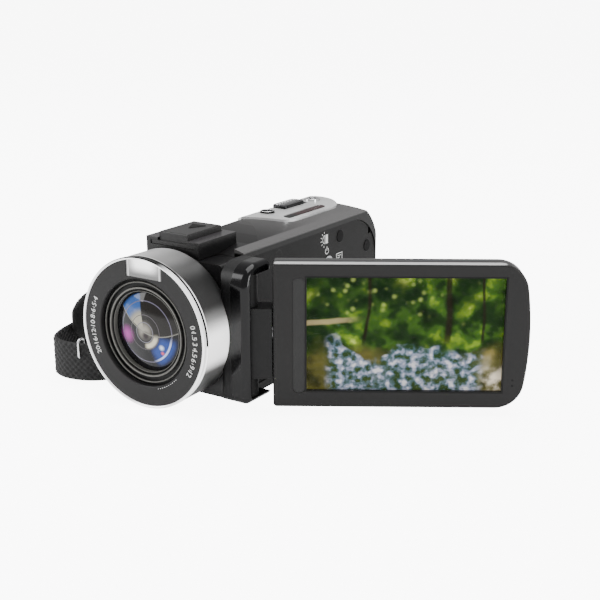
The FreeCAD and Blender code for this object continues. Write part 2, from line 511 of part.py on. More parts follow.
# ---- rear controls, sockets and battery --------------------------------------------------------------------------
record_cap = rod("record_cap", "y", ("-11", "rear_y - 4", "30"), "5.0", "4.8")
record_flange = rod("record_flange", "y", ("-11", "rear_y - 4", "30"), "6.2", "1.4")
keep("record_button", fuse("record_button", record_cap, record_flange))
flap = box("flap", ("-0.85", "rear_y - 1.2", "11.2"), ("14.7", "1.6", "17.6"))
flap_soft = rounded("flap_soft", flap, (1.4, lambda edge, at: along(edge, "y") and at.z > 15))
flap_roll = rod("flap_roll", "x", ("-0.85", "rear_y - 0.8", "10.8"), "1.1", "14.7")
flap_bore = rod("flap_bore", "x", ("-10", "rear_y - 0.8", "10.8"), "0.5 + running_gap", "40")
keep("port_cover", cut("port_cover", fuse("flap_form", flap_soft, flap_roll), flap_bore))
keep("port_cover_pin", rod("port_cover_pin", "x", ("-2.4", "rear_y - 0.8", "10.8"), "0.5", "17.8"))
socket_block = box("socket_block", ("-0.6", "rear_y - 12", "13"), ("14.2", "8.6", "15.4"))
usb_mouth = box("usb_mouth", ("3", "rear_y - 6", "15.6"), ("8", "6", "3"))
video_mouth = box("video_mouth", ("1.6", "rear_y - 6", "22"), ("11", "6", "3.4"))
keep("port_sockets", cut("port_sockets", socket_block, usb_mouth, video_mouth))

door_flat = zone("door_flat", ("door_x + 0.15", "door_y + 0.2", "floor_z"),
                 ("door_x + door_width - 0.15", "80", "floor_z + door_thick"))
door_tongue = zone("door_tongue", ("door_x - 0.85", "door_y + 0.2", "floor_z + 0.8"),
                   ("door_x + door_width + 0.85", "rear_y - 6", "floor_z + 1.4"))
keep("battery_door", fuse("battery_door", common("door_panel", outer, door_flat), door_tongue))
keep("battery", rounded("battery", box("battery_block", ("door_x + 0.5", "door_y + 1", "floor_z + 2.8"),
                                       ("23", "38", "11")), (0.8, lambda edge, at: along(edge, "y"))))
keep("main_board", box("main_board", ("split_x - 3.2", "shell_y + 3", "12"), ("1.4", "62", "34")))
keep("memory_card", box("memory_card", ("-18.6", "20", "16"), ("2.1", "24", "20")))
keep("speaker", rod("speaker", "x", ("-19.4", "-4", "27"), "7", "3"))
keep("microphone", rod("microphone", "y", ("-14", "-24", "40"), "2.5", "3"))

# ---- base -------------------------------------------------------------------------------------------------------
thread_body = rod("thread_body", "z", ("0", "0", "0"), "5.5", "6")
thread_bore = rod("thread_bore", "z", ("0", "0", "-1"), "2.55", "6.5")
keep("tripod_insert", cut("tripod_insert", thread_body, thread_bore))
FEET = (("-8", "-24"), ("14.5", "-24"), ("-13", "48"), ("16.2", "48"))
keep("feet", group("feet", *[rod("foot_%d" % i, "z", (x, y, "0"), "1.6", "floor_z") for i, (x, y) in enumerate(FEET)]))

# ---- hand strap ----------------------------------------------------------------------------------------------------
ROUTE = ((-22.0, -37.0, 9.0), (-33.0, -48.5, 8.2), (-46.0, -51.5, 8.2), (-52.4, -45.0, 9.2),
         (-52.4, -20.0, 12.0), (-48.5, 12.0, 17.0), (-37.0, 36.0, 20.0), (-21.5, 44.0, 20.0))
course = Part.BSplineCurve()
course.interpolate([FreeCAD.Vector(*point) for point in ROUTE])


def band(name, begin, end, shift, thick, low, high, count, level=False):
    """A strip on edge along the strap's course: shift moves it inwards, level keeps its heights flat."""
    first, last = course.FirstParameter, course.LastParameter
    rings = []
    for step in range(count + 1):
        here = first + (last - first) * (begin + (end - begin) * step / count)
        point = course.value(here)
        ahead = course.tangent(here)[0]
        out = FreeCAD.Vector(-ahead.y, ahead.x, 0).normalize()
        ring = []
        for offset, rise in ((-thick / 2, low), (thick / 2, low), (thick / 2, high), (-thick / 2, high)):
            spot = point - out * (shift + offset)
            ring.append(FreeCAD.Vector(spot.x, spot.y, rise if level else point.z + rise))
        rings.append(Part.makePolygon(ring + ring[:1]))
    item = doc.addObject("Part::Feature", name)
    item.Shape = Part.makeLoft(rings, True, True)
    item.Placement = FreeCAD.Placement()
    return item


half_strap = cell("strap_width") / 2
webbing = band("webbing", 0.0, 1.0, 0.0, cell("strap_thick"), -half_strap, half_strap, 48)
front_anchor = box("front_anchor", ("-23.5", "-41.5", "1.4"), ("10", "9", "16"))
rear_anchor = box("rear_anchor", ("-24.6", "39.5", "12"), ("6", "9", "17"))
keep("strap_anchor_front", cut("strap_anchor_front", front_anchor, front_block))
keep("strap_anchor_rear", cut("strap_anchor_rear", rear_anchor, outer))
keep("strap_webbing", cut("strap_webbing", webbing, outer, neck_tube, front_anchor, rear_anchor))
inward = (cell("strap_thick") + cell("pad_thick")) / 2 + 0.1
keep("strap_pad", band("strap_pad", 0.33, 0.84, inward, cell("pad_thick"), 6.0, 30.5, 24, True))

# ---- check and write --------------------------------------------------------------------------------------------------
doc.recompute()
for item in doc.Objects:
    for word in ("Invalid", "Error"):
        if word in item.State:
            raise RuntimeError("%s is %s" % (item.Name, word))
os.makedirs("parts", exist_ok=True)
for name, item in PARTS.items():
    shape = item.Shape
    if shape.isNull() or not shape.isValid() or not shape.Solids:
        raise RuntimeError("%s has no valid solid" % name)
    shape.exportStep("parts/%s.step" % name)
    print(name, len(shape.Solids), round(shape.Volume, 1))
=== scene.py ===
import math

import bmesh
import bpy
from mathutils import Matrix, Vector


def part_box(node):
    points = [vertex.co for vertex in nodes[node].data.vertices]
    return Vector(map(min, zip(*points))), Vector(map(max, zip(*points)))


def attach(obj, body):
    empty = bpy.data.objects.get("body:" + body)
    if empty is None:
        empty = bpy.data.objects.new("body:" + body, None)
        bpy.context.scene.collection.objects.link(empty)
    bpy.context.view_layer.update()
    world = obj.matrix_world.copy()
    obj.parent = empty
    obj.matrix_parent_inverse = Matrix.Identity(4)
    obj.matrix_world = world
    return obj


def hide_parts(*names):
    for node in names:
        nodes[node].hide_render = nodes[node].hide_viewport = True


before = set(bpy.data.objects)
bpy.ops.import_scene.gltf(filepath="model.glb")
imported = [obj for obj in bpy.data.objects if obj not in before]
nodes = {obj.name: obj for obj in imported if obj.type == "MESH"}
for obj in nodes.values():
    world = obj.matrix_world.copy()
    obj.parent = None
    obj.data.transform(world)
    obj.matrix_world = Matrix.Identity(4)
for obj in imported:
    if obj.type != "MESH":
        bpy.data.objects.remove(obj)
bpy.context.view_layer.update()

MM = 0.001

# ---- Camera --------------------------------------------------------------------------------------
# A short telephoto view from the screen side of the lens, a little above it.
# Azimuth and elevation turn the camera about the object without any roll.
AZIMUTH, ELEVATION = math.radians(32.76), math.radians(16.5)
camera_data = bpy.data.cameras.new("studio_camera")
camera_data.lens = 66.0
camera_data.sensor_width = 36.0
camera_data.clip_end = 20
camera = bpy.data.objects.new("studio_camera", camera_data)
bpy.context.scene.collection.objects.link(camera)
back = Vector((math.sin(AZIMUTH) * math.cos(ELEVATION), -math.cos(AZIMUTH) * math.cos(ELEVATION),
               math.sin(ELEVATION)))
camera.location = (0.231, -0.322, 0.142)
camera.rotation_euler = back.to_track_quat("Z", "Y").to_euler()
bpy.context.scene.camera = camera

# ---- Floor and light -----------------------------------------------------------------------------
# A plain white sweep of card under the camcorder, lit by soft boxes above, left and right.
# The boxes give the long soft highlights that gloss plastic and spun metal need.
card = bpy.data.meshes.new("floor_card")
CARD = 6.0
card.from_pydata([(-CARD, -CARD, 0), (CARD, -CARD, 0), (CARD, CARD, 0), (-CARD, CARD, 0)], [], [(0, 1, 2, 3)])
floor = bpy.data.objects.new("floor_card", card)
bpy.context.scene.collection.objects.link(floor)
card_paint = bpy.data.materials.new("white_card")
card_paint.use_nodes = True
card_shader = card_paint.node_tree.nodes["Principled BSDF"]
card_shader.inputs["Base Color"].default_value = (0.92, 0.92, 0.92, 1)
card_shader.inputs["Roughness"].default_value = 0.9
card_shader.inputs["Specular IOR Level"].default_value = 0.1
card_shader.inputs["Emission Color"].default_value = (1, 1, 1, 1)
CARD_GLOW, SWEEP_GLOW = (0.4, 8.0), (0.55, 9.0)
card.materials.append(card_paint)


def seen_and_cast(tree, glow):
    """A strength that is higher where it is looked at than where it lights the object."""
    path = tree.nodes.new("ShaderNodeLightPath")
    choice = tree.nodes.new("ShaderNodeMapRange")
    choice.inputs["To Min"].default_value, choice.inputs["To Max"].default_value = glow
    tree.links.new(path.outputs["Is Camera Ray"], choice.inputs["Value"])
    return choice.outputs["Result"]


card_paint.node_tree.links.new(seen_and_cast(card_paint.node_tree, CARD_GLOW),
                               card_shader.inputs["Emission Strength"])

world = bpy.data.worlds.new("studio_world")
bpy.context.scene.world = world
world.use_nodes = True
world.node_tree.nodes["Background"].inputs["Color"].default_value = (1, 1, 1, 1)
world.node_tree.links.new(seen_and_cast(world.node_tree, SWEEP_GLOW),
                          world.node_tree.nodes["Background"].inputs["Strength"])


def soft_box(name, place, aim, width, height, watts):
    light = bpy.data.lights.new(name, "AREA")
    light.shape = "RECTANGLE"
    light.size, light.size_y = width, height
    light.energy = watts
    item = bpy.data.objects.new(name, light)
    bpy.context.scene.collection.objects.link(item)
    item.location = place
    item.rotation_euler = (Vector(place) - Vector(aim)).to_track_quat("Z", "Y").to_euler()
    return item


CENTRE = (0.02, 0.0, 0.03)
soft_box("box_above", (0.05, 0.1, 0.9), CENTRE, 0.9, 0.7, 9)
soft_box("box_left", (-0.7, -0.5, 0.45), CENTRE, 0.5, 0.7, 7)
soft_box("box_right", (0.9, -0.1, 0.25), CENTRE, 0.25, 0.6, 5)


# ---- Main shell, rear cover and side cover -------------------------------------------------------
# The moulded body halves: black gloss ABS, with a painted highlight that turns the crown dark grey towards
# its top and rear.
# The screws and clips that join them are inside, so only a fine parting line shows.
def op(tree, kind, a, b=0.0, clamp=False):
    """A Math node fed by sockets or numbers; returns its output."""
    node = tree.nodes.new("ShaderNodeMath")
    node.operation = kind
    node.use_clamp = clamp
    for socket, value in zip(node.inputs, (a, b)):
        if isinstance(value, (int, float)):
            socket.default_value = value
        else:
            tree.links.new(value, socket)
    return node.outputs[0]


def ease(tree, value, low, high):
    """0 below low, 1 above high, smooth between; reversed when low is above high."""
    node = tree.nodes.new("ShaderNodeMapRange")
    node.interpolation_type = "SMOOTHSTEP"
    node.inputs["From Min"].default_value = min(low, high)
    node.inputs["From Max"].default_value = max(low, high)
    if low > high:
        node.inputs["To Min"].default_value = 1.0
        node.inputs["To Max"].default_value = 0.0
    tree.links.new(value, node.inputs["Value"])
    return node.outputs["Result"]


def blend_colour(tree, factor, first, second):
    node = tree.nodes.new("ShaderNodeMix")
    node.data_type = "RGBA"
    slots = [socket for socket in node.inputs if socket.enabled]
    for socket, value in zip(slots, (factor, first, second)):
        if isinstance(value, (int, float)):
            socket.default_value = value
        elif isinstance(value, tuple):
            socket.default_value = (*value, 1.0)
        else:
            tree.links.new(value, socket)
    return [socket for socket in node.outputs if socket.enabled][0]


def shader_group(name, inputs, outputs):
    """An empty shader node group with float inputs (or vectors, when the default is a tuple)."""
    group = bpy.data.node_groups.new(name, "ShaderNodeTree")
    for title, default in inputs:
        kind = "NodeSocketVector" if isinstance(default, tuple) else "NodeSocketFloat"
        socket = group.interface.new_socket(title, in_out="INPUT", socket_type=kind)
        socket.default_value = default
    for title in outputs:
        group.interface.new_socket(title, in_out="OUTPUT", socket_type="NodeSocketFloat")
    return group, group.nodes.new("NodeGroupInput"), group.nodes.new("NodeGroupOutput")


grain_group, grain_in, grain_out = shader_group("moulded_grain", [("Fine", 9000.0), ("Broad", 60.0)],
                                                ["Height", "Cloud"])
grain_place = grain_group.nodes.new("ShaderNodeTexCoord")
for title, target, detail in (("Fine", "Height", 2.0), ("Broad", "Cloud", 4.0)):
    noise = grain_group.nodes.new("ShaderNodeTexNoise")
    noise.inputs["Detail"].default_value = detail
    grain_group.links.new(grain_place.outputs["Object"], noise.inputs["Vector"])
    grain_group.links.new(grain_in.outputs[title], noise.inputs["Scale"])
    grain_group.links.new(noise.outputs["Fac"], grain_out.inputs[target])


def finish(name, dark, light, rough, spread=0.08, metal=0.0, coat=0.0, grain=9000.0, relief=0.02,
           specular=0.2):
    """A moulded or sprayed finish: cloudy colour between two tones, grain in gloss and relief."""
    material = bpy.data.materials.new(name)
    material.use_nodes = True
    tree = material.node_tree
    shader = tree.nodes["Principled BSDF"]
    grains = tree.nodes.new("ShaderNodeGroup")
    grains.node_tree = grain_group
    grains.inputs["Fine"].default_value = grain
    cloud = ease(tree, grains.outputs["Cloud"], 0.3, 0.7)
    tree.links.new(blend_colour(tree, cloud, dark, light), shader.inputs["Base Color"])
    tree.links.new(op(tree, "ADD", op(tree, "MULTIPLY", grains.outputs["Cloud"], spread), rough - spread / 2),
                   shader.inputs["Roughness"])
    bump = tree.nodes.new("ShaderNodeBump")
    bump.inputs["Strength"].default_value = relief
    bump.inputs["Distance"].default_value = 0.0002
    tree.links.new(grains.outputs["Height"], bump.inputs["Height"])
    tree.links.new(bump.outputs["Normal"], shader.inputs["Normal"])
    shader.inputs["Metallic"].default_value = metal
    shader.inputs["Coat Weight"].default_value = coat
    shader.inputs["Coat Roughness"].default_value = 0.08
    shader.inputs["Specular IOR Level"].default_value = specular
    return material


def paint_node(name, material):
    """Give a finished CAD piece its material."""
    mesh = nodes[name].data
    mesh.materials.clear()
    mesh.materials.append(material)


def object_place(tree):
    """The three Object coordinates as separate outputs."""
    place = tree.nodes.new("ShaderNodeTexCoord")
    split = tree.nodes.new("ShaderNodeSeparateXYZ")
    tree.links.new(place.outputs["Object"], split.inputs[0])
    return split.outputs


CROWN_PAINTED_LIGHT, CROWN_BLACK = (0.08, 0.078, 0.078), (0.004, 0.004, 0.004)
crown_paint = finish("crown_lacquer_painted_light", CROWN_BLACK, CROWN_BLACK, 0.32, relief=0.01, specular=0.25)
crown_tree = crown_paint.node_tree
along_body, up = object_place(crown_tree)[1:]
# Painted highlight: grey where the crown rises to its top and runs to the rear, black towards the front.
lit = op(crown_tree, "MULTIPLY", ease(crown_tree, up, 0.046, 0.0535),
         ease(crown_tree, along_body, -0.024, 0.03))
crown_painted_light_tone = blend_colour(crown_tree, lit, CROWN_BLACK, CROWN_PAINTED_LIGHT)
crown_tree.links.new(crown_painted_light_tone, crown_tree.nodes["Principled BSDF"].inputs["Base Color"])
for shell in ("main_shell", "rear_cover"):
    paint_node(shell, crown_paint)

# Painted highlight: the side cover is grey on its top, where light falls from above, and near black below.
BAND_PAINTED_LIGHT = (0.095, 0.093, 0.093)
band_paint = finish("shoulder_lacquer", CROWN_BLACK, CROWN_BLACK, 0.32, relief=0.01, specular=0.15)
band_tree = band_paint.node_tree
band_top_painted_light = ease(band_tree, object_place(band_tree)[2], 0.0517, 0.0523)
band_painted_light_tone = blend_colour(band_tree, band_top_painted_light, (0.002, 0.002, 0.002), BAND_PAINTED_LIGHT)
band_tree.links.new(band_painted_light_tone, band_tree.nodes["Principled BSDF"].inputs["Base Color"])
paint_node("side_cover", band_paint)

# ---- Side panel, its marks and buttons -----------------------------------------------------------
# A satin dark grey plate glued into the screen-side cover, with four round rubber-backed buttons.
# The marks are pad-printed in white: a lamp sign, a power sign and a display sign.
panel_paint = finish("satin_graphite", (0.006, 0.0057, 0.0057), (0.0075, 0.0072, 0.0072), 0.55, relief=0.05,
                     specular=0.15)
paint_node("side_panel", panel_paint)
button_paint = finish("button_black", (0.002, 0.002, 0.002), (0.004, 0.004, 0.004), 0.5, specular=0.05)
for button in ("light_button", "playback_button", "display_button"):
    paint_node(button, button_paint)
paint_node("power_button", finish("button_chrome", (0.32, 0.32, 0.33), (0.42, 0.42, 0.43), 0.22, metal=1.0))
white_ink = finish("white_ink", (0.75, 0.75, 0.74), (0.85, 0.85, 0.84), 0.55, relief=0.01)


def worked(item):
    """The item's mesh with its modifiers worked in."""
    return bpy.data.meshes.new_from_object(item.evaluated_get(bpy.context.evaluated_depsgraph_get()))


def solid(name, points, faces, material, smooth=False):
    """A closed mesh object at the origin, its faces turned outwards."""
    mesh = bpy.data.meshes.new(name)
    mesh.from_pydata([tuple(p) for p in points], [], faces)
    work = bmesh.new()
    work.from_mesh(mesh)
    bmesh.ops.remove_doubles(work, verts=work.verts, dist=1e-7)
    bmesh.ops.recalc_face_normals(work, faces=work.faces)
    work.to_mesh(mesh)
    work.free()
    for face in mesh.polygons:
        face.use_smooth = smooth
    mesh.materials.append(material)
    item = bpy.data.objects.new(name, mesh)
    bpy.context.scene.collection.objects.link(item)
    return item


def slab(outline, place, low, high):
    """Points and faces of a flat plate with the given outline, its thickness along the third axis."""
    count = len(outline)
    points = [place(a, b, low) for a, b in outline] + [place(a, b, high) for a, b in outline]
    faces = [tuple(range(count))[::-1], tuple(range(count, 2 * count))]
    faces += [(i, (i + 1) % count, count + (i + 1) % count, count + i) for i in range(count)]
    return points, faces


def joined(name, pieces, material, smooth=False):
    """One mesh out of several (points, faces) pairs."""
    points, faces = [], []
    for more, sides in pieces:
        start = len(points)
        points += more
        faces += [tuple(start + i for i in side) for side in sides]
    return solid(name, points, faces, material, smooth)


def bar(ax, ay, bx, by, width):
    """Outline of a straight stroke."""
    length = math.hypot(bx - ax, by - ay)
    nx, ny = -(by - ay) / length * width / 2, (bx - ax) / length * width / 2
    return [(ax - nx, ay - ny), (bx - nx, by - ny), (bx + nx, by + ny), (ax + nx, ay + ny)]


def arc(cx, cy, radius, start, end, width, steps=20):
    """Outlines of the short strokes that make up an arc, angles in degrees."""
    turns = [math.radians(start + (end - start) * i / steps) for i in range(steps + 1)]
    strokes = []
    for a, b in zip(turns, turns[1:]):
        inner, outer = radius - width / 2, radius + width / 2
        strokes.append([(cx + inner * math.cos(a), cy + inner * math.sin(a)),
                        (cx + outer * math.cos(a), cy + outer * math.sin(a)),
                        (cx + outer * math.cos(b), cy + outer * math.sin(b)),
                        (cx + inner * math.cos(b), cy + inner * math.sin(b))])
    return strokes


PANEL_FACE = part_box("side_panel")[1].x
INK = 0.03


def on_panel(y, z, rise):
    return Vector((PANEL_FACE + rise * MM, y * MM, z * MM))


lamp = (21.0, 46.6)
signs = arc(lamp[0], lamp[1], 1.55, 90, 270, 0.3)
signs += [bar(lamp[0], lamp[1] - 1.7, lamp[0], lamp[1] + 1.7, 0.35)]
signs += [[(lamp[0] + 0.5, lamp[1] - 1.7), (lamp[0] + 2.1, lamp[1] - 1.7), (lamp[0] + 2.1, lamp[1] + 1.7),
           (lamp[0] + 0.5, lamp[1] + 1.7)]]
for turn in (100, 130, 160, 190, 220, 255):
    ray = Vector((math.cos(math.radians(turn)), math.sin(math.radians(turn))))
    signs.append(bar(lamp[0] + 2.3 * ray.x, lamp[1] + 2.3 * ray.y,
                     lamp[0] + 3.1 * ray.x, lamp[1] + 3.1 * ray.y, 0.3))
power = (22.5, 41.9)
signs += arc(power[0], power[1], 1.15, 125, 415, 0.3)
signs.append(bar(power[0], power[1] + 0.1, power[0], power[1] + 1.7, 0.3))
display = (31.6, 37.9)
for ay, az, by, bz, width in ((-2.1, 1.3, 2.1, 1.3, 0.3), (-2.1, -1.3, 2.1, -1.3, 0.3),
                              (-2.1, -1.45, -2.1, 1.45, 0.3), (2.1, -1.45, 2.1, 1.45, 0.3),
                              (-1.3, 0.4, 1.3, 0.4, 0.25), (-1.3, -0.4, 0.5, -0.4, 0.25)):
    signs.append(bar(display[0] + ay, display[1] + az, display[0] + by, display[1] + bz, width))
marks = joined("panel_marks", [slab(stroke, on_panel, -INK, INK) for stroke in signs], white_ink)
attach(marks, "camera_body")
rings = [stroke for y, z, r in ((32, 45.8, 2.55), (53, 37.9, 2.55), (-10, 47, 2.0))
         for stroke in arc(y, z, r, 0, 360, 0.22, 28)]
faint_rings = joined("faint_rings", [slab(stroke, on_panel, -INK, INK / 2) for stroke in rings],
                     finish("groove_black", (0.008, 0.008, 0.008), (0.012, 0.012, 0.012), 0.5))
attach(faint_rings, "camera_body")

# ---- Front shell ---------------------------------------------------------------------------------
# The black gloss housing behind the lens ring, with a cheek that carries the hinge pod.
# It is moulded in one piece and closes the front of the main shell.
front_paint = finish("front_gloss", (0.004, 0.0037, 0.004), (0.006, 0.0056, 0.006), 0.3, relief=0.01,
                     specular=0.4)
paint_node("front_shell", front_paint)

# ---- Lens ring and rim ---------------------------------------------------------------------------
# A spun aluminium barrel with fine turned lines, and a polished rim pressed on its front edge.
# Bands of painted sheen run round the barrel by angle, and a painted glint makes part of it glow.
brush_group, brush_in, brush_out = shader_group("turned_lines", [("Lines", 9000.0), ("Axis Height", 0.028)],
                                                ["Height", "Turn", "Radius"])
brush_x, brush_y, brush_z = object_place(brush_group)
above_axis = op(brush_group, "SUBTRACT", brush_z, brush_in.outputs["Axis Height"])
turn_angle = op(brush_group, "ARCTAN2", above_axis, brush_x)
from_axis = op(brush_group, "SQRT", op(brush_group, "ADD", op(brush_group, "MULTIPLY", brush_x, brush_x),
                                       op(brush_group, "MULTIPLY", above_axis, above_axis)))
brush_spot = brush_group.nodes.new("ShaderNodeCombineXYZ")
brush_group.links.new(op(brush_group, "MULTIPLY", turn_angle, 1.5), brush_spot.inputs[0])
brush_group.links.new(op(brush_group, "MULTIPLY", brush_y, brush_in.outputs["Lines"]), brush_spot.inputs[1])
brush_group.links.new(op(brush_group, "MULTIPLY", from_axis, brush_in.outputs["Lines"]), brush_spot.inputs[2])
brush_noise = brush_group.nodes.new("ShaderNodeTexNoise")
brush_noise.inputs["Scale"].default_value = 1.0
brush_noise.inputs["Detail"].default_value = 3.0
brush_group.links.new(brush_spot.outputs[0], brush_noise.inputs["Vector"])
brush_group.links.new(brush_noise.outputs["Fac"], brush_out.inputs["Height"])
brush_group.links.new(turn_angle, brush_out.inputs["Turn"])
brush_group.links.new(from_axis, brush_out.inputs["Radius"])


def turned(name, rough, metal, relief, lines=9000.0):
    """A lathe-turned finish. Returns the material, its tree and the brush node."""
    material = bpy.data.materials.new(name)
    material.use_nodes = True
    tree = material.node_tree
    shader = tree.nodes["Principled BSDF"]
    brush = tree.nodes.new("ShaderNodeGroup")
    brush.node_tree = brush_group
    brush.inputs["Lines"].default_value = lines
    tree.links.new(op(tree, "ADD", op(tree, "MULTIPLY", brush.outputs["Height"], 0.12), rough - 0.06),
                   shader.inputs["Roughness"])
    bump = tree.nodes.new("ShaderNodeBump")
    bump.inputs["Strength"].default_value = relief
    bump.inputs["Distance"].default_value = 0.0001
    tree.links.new(brush.outputs["Height"], bump.inputs["Height"])
    tree.links.new(bump.outputs["Normal"], shader.inputs["Normal"])
    shader.inputs["Metallic"].default_value = metal
    shader.inputs["Specular IOR Level"].default_value = 0.25
    return material, tree, brush


def stops(tree, value, marks):
    """A colour ramp over a value: marks are (place from 0 to 1, colour)."""
    ramp = tree.nodes.new("ShaderNodeValToRGB")
    ramp.color_ramp.interpolation = "EASE"
    while len(ramp.color_ramp.elements) < len(marks):
        ramp.color_ramp.elements.new(0.5)
    for element, (place, colour) in zip(ramp.color_ramp.elements, marks):
        element.position = place
        element.color = (*colour, 1.0)
    tree.links.new(value, ramp.inputs["Fac"])
    return ramp.outputs["Color"]


def grey(level):
    return (level, level * 0.995, level * 0.99)


barrel_paint, barrel_tree, barrel_brush = turned("spun_aluminium", 0.34, 0.5, 0.12)
barrel_turn = barrel_brush.outputs["Turn"]
round_the_ring = op(barrel_tree, "ADD", op(barrel_tree, "DIVIDE", barrel_turn, 2 * math.pi), 0.5)
# Painted sheen: bright and dark bands of reflection set by the angle round the lens axis.
PAINTED_SHEEN = [(0.0, 0.6), (0.07, 0.16), (0.15, 0.03), (0.3, 0.02), (0.385, 0.035), (0.43, 0.15),
         (0.465, 0.8), (0.51, 0.95), (0.535, 0.5), (0.575, 0.06), (0.63, 0.035), (0.67, 0.11),
         (0.71, 0.3), (0.77, 0.5), (0.88, 0.14), (1.0, 0.6)]
barrel_painted_light = stops(barrel_tree, round_the_ring, [(place, grey(level)) for place, level in PAINTED_SHEEN])
barrel_y = object_place(barrel_tree)[1]
REFLECTION_SWITCH, LINE_END, FAR_END = -0.03, 0.75, 2.75


def upper_half(tree, turn, end):
    """Where the painted reflections run: from the screen side, over the top, to their far end."""
    return op(tree, "MULTIPLY", ease(tree, turn, REFLECTION_SWITCH, REFLECTION_SWITCH + 0.02), ease(tree, turn, end + 0.3, end))


# Painted highlight: a bright line on the front edge over the upper half.
front_edge = ease(barrel_tree, barrel_y, -0.0568, -0.0570)
edge_painted_highlight = blend_colour(barrel_tree, upper_half(barrel_tree, barrel_turn, LINE_END), barrel_painted_light,
                         (0.9, 0.9, 0.9))
barrel_painted_light = blend_colour(barrel_tree, front_edge, barrel_painted_light, edge_painted_highlight)
# Painted reflection: the chamfer in front of the barrel is black over the top and light grey elsewhere.
chamfer_reflection_zone = ease(barrel_tree, barrel_y, -0.0573, -0.0574)
chamfer_painted_reflection = blend_colour(barrel_tree, upper_half(barrel_tree, barrel_turn, FAR_END), (0.8, 0.8, 0.8),
                         (0.003, 0.003, 0.003))
barrel_painted_light = blend_colour(barrel_tree, chamfer_reflection_zone, barrel_painted_light, chamfer_painted_reflection)
barrel_shader = barrel_tree.nodes["Principled BSDF"]
barrel_tree.links.new(barrel_painted_light, barrel_shader.inputs["Base Color"])
# Painted glint: the barrel glows by angle round the axis, and along its front edge with its painted colour.
PAINTED_GLINT = [(0.0, 0.0), (0.43, 0.0), (0.47, 1.0), (0.512, 1.0), (0.55, 0.0), (0.7, 0.0), (0.77, 0.12),
         (0.85, 0.0)]
painted_glint = stops(barrel_tree, round_the_ring, [(place, grey(level)) for place, level in PAINTED_GLINT])
barrel_tree.links.new(blend_colour(barrel_tree, front_edge, painted_glint, barrel_painted_light),
                      barrel_shader.inputs["Emission Color"])
barrel_shader.inputs["Emission Strength"].default_value = 1.6
paint_node("lens_ring", barrel_paint)
rim_paint, rim_tree, rim_brush = turned("polished_rim", 0.2, 0.6, 0.02)
rim_painted_light_tone = blend_colour(rim_tree, rim_brush.outputs["Height"], (0.82, 0.82, 0.83), (0.95, 0.95, 0.95))
# Painted reflection: the rim's outer edge turns black on the far side.
far_side = op(rim_tree, "MULTIPLY", upper_half(rim_tree, rim_brush.outputs["Turn"], FAR_END),
              ease(rim_tree, rim_brush.outputs["Turn"], 1.0, 1.3))
outer_edge_painted_reflection = op(rim_tree, "MULTIPLY", far_side, ease(rim_tree, rim_brush.outputs["Radius"], 0.02565, 0.02572))
rim_painted_light_tone = blend_colour(rim_tree, outer_edge_painted_reflection, rim_painted_light_tone, (0.003, 0.003, 0.003))
rim_shader = rim_tree.nodes["Principled BSDF"]
rim_tree.links.new(rim_painted_light_tone, rim_shader.inputs["Base Color"])
# The rim glows with its own colour, a painted highlight.
rim_tree.links.new(rim_painted_light_tone, rim_shader.inputs["Emission Color"])
rim_shader.inputs["Emission Strength"].default_value = 1.3
paint_node("ring_trim", rim_paint)

# ---- Face ring with its scale --------------------------------------------------------------------
# A satin graphite disc around the mouth, with a printed dial: numerals at the left and right
# of the mouth and fine ticks between them.
face_paint, face_tree, face_brush = turned("graphite_disc", 0.45, 0.0, 0.05, 5000.0)
face_tone = blend_colour(face_tree, face_brush.outputs["Height"], (0.0135, 0.013, 0.0135),
                         (0.019, 0.0185, 0.0185))
face_tree.links.new(face_tone, face_tree.nodes["Principled BSDF"].inputs["Base Color"])
paint_node("face_ring", face_paint)
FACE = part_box("face_ring")[0].y
AXIS = 28.0
SCALE_RADIUS, NUMERAL_SIZE = 21.9, 2.7


def numerals(name, words):
    """Numerals set round the lens axis. words are (text, angle in degrees)."""
    pieces = []
    for text, degrees in words:
        type_data = bpy.data.curves.new(name, "FONT")
        type_data.body = text
        type_data.size = NUMERAL_SIZE * MM
        type_data.extrude = INK * MM
        type_data.align_x = "CENTER"
        type_data.align_y = "CENTER"
        holder = bpy.data.objects.new(name, type_data)
        bpy.context.scene.collection.objects.link(holder)
        bpy.context.view_layer.update()
        mesh = worked(holder)
        bpy.data.objects.remove(holder)
        turn = math.radians(degrees)
        tilt = turn - math.pi / 2
        points = []
        for corner in mesh.vertices:
            x = corner.co.x * math.cos(tilt) - corner.co.y * math.sin(tilt)
            z = corner.co.x * math.sin(tilt) + corner.co.y * math.cos(tilt)
            points.append(Vector((SCALE_RADIUS * MM * math.cos(turn) + x, FACE - corner.co.z,
                                  AXIS * MM + SCALE_RADIUS * MM * math.sin(turn) + z)))
        pieces.append((points, [tuple(face.vertices) for face in mesh.polygons]))
    return joined(name, pieces, white_ink)


left_scale = numerals("left_numerals", [("20", 205), ("16", 197), ("12", 189), ("10", 181), ("8", 174),
                                        ("6", 168), ("5", 162), ("4", 156)])
right_scale = numerals("right_numerals", [("0", 15), ("1.5", 8), ("3", 0.5), ("4.5", -7), ("6", -14.5),
                                          ("9", -21), ("12", -28)])


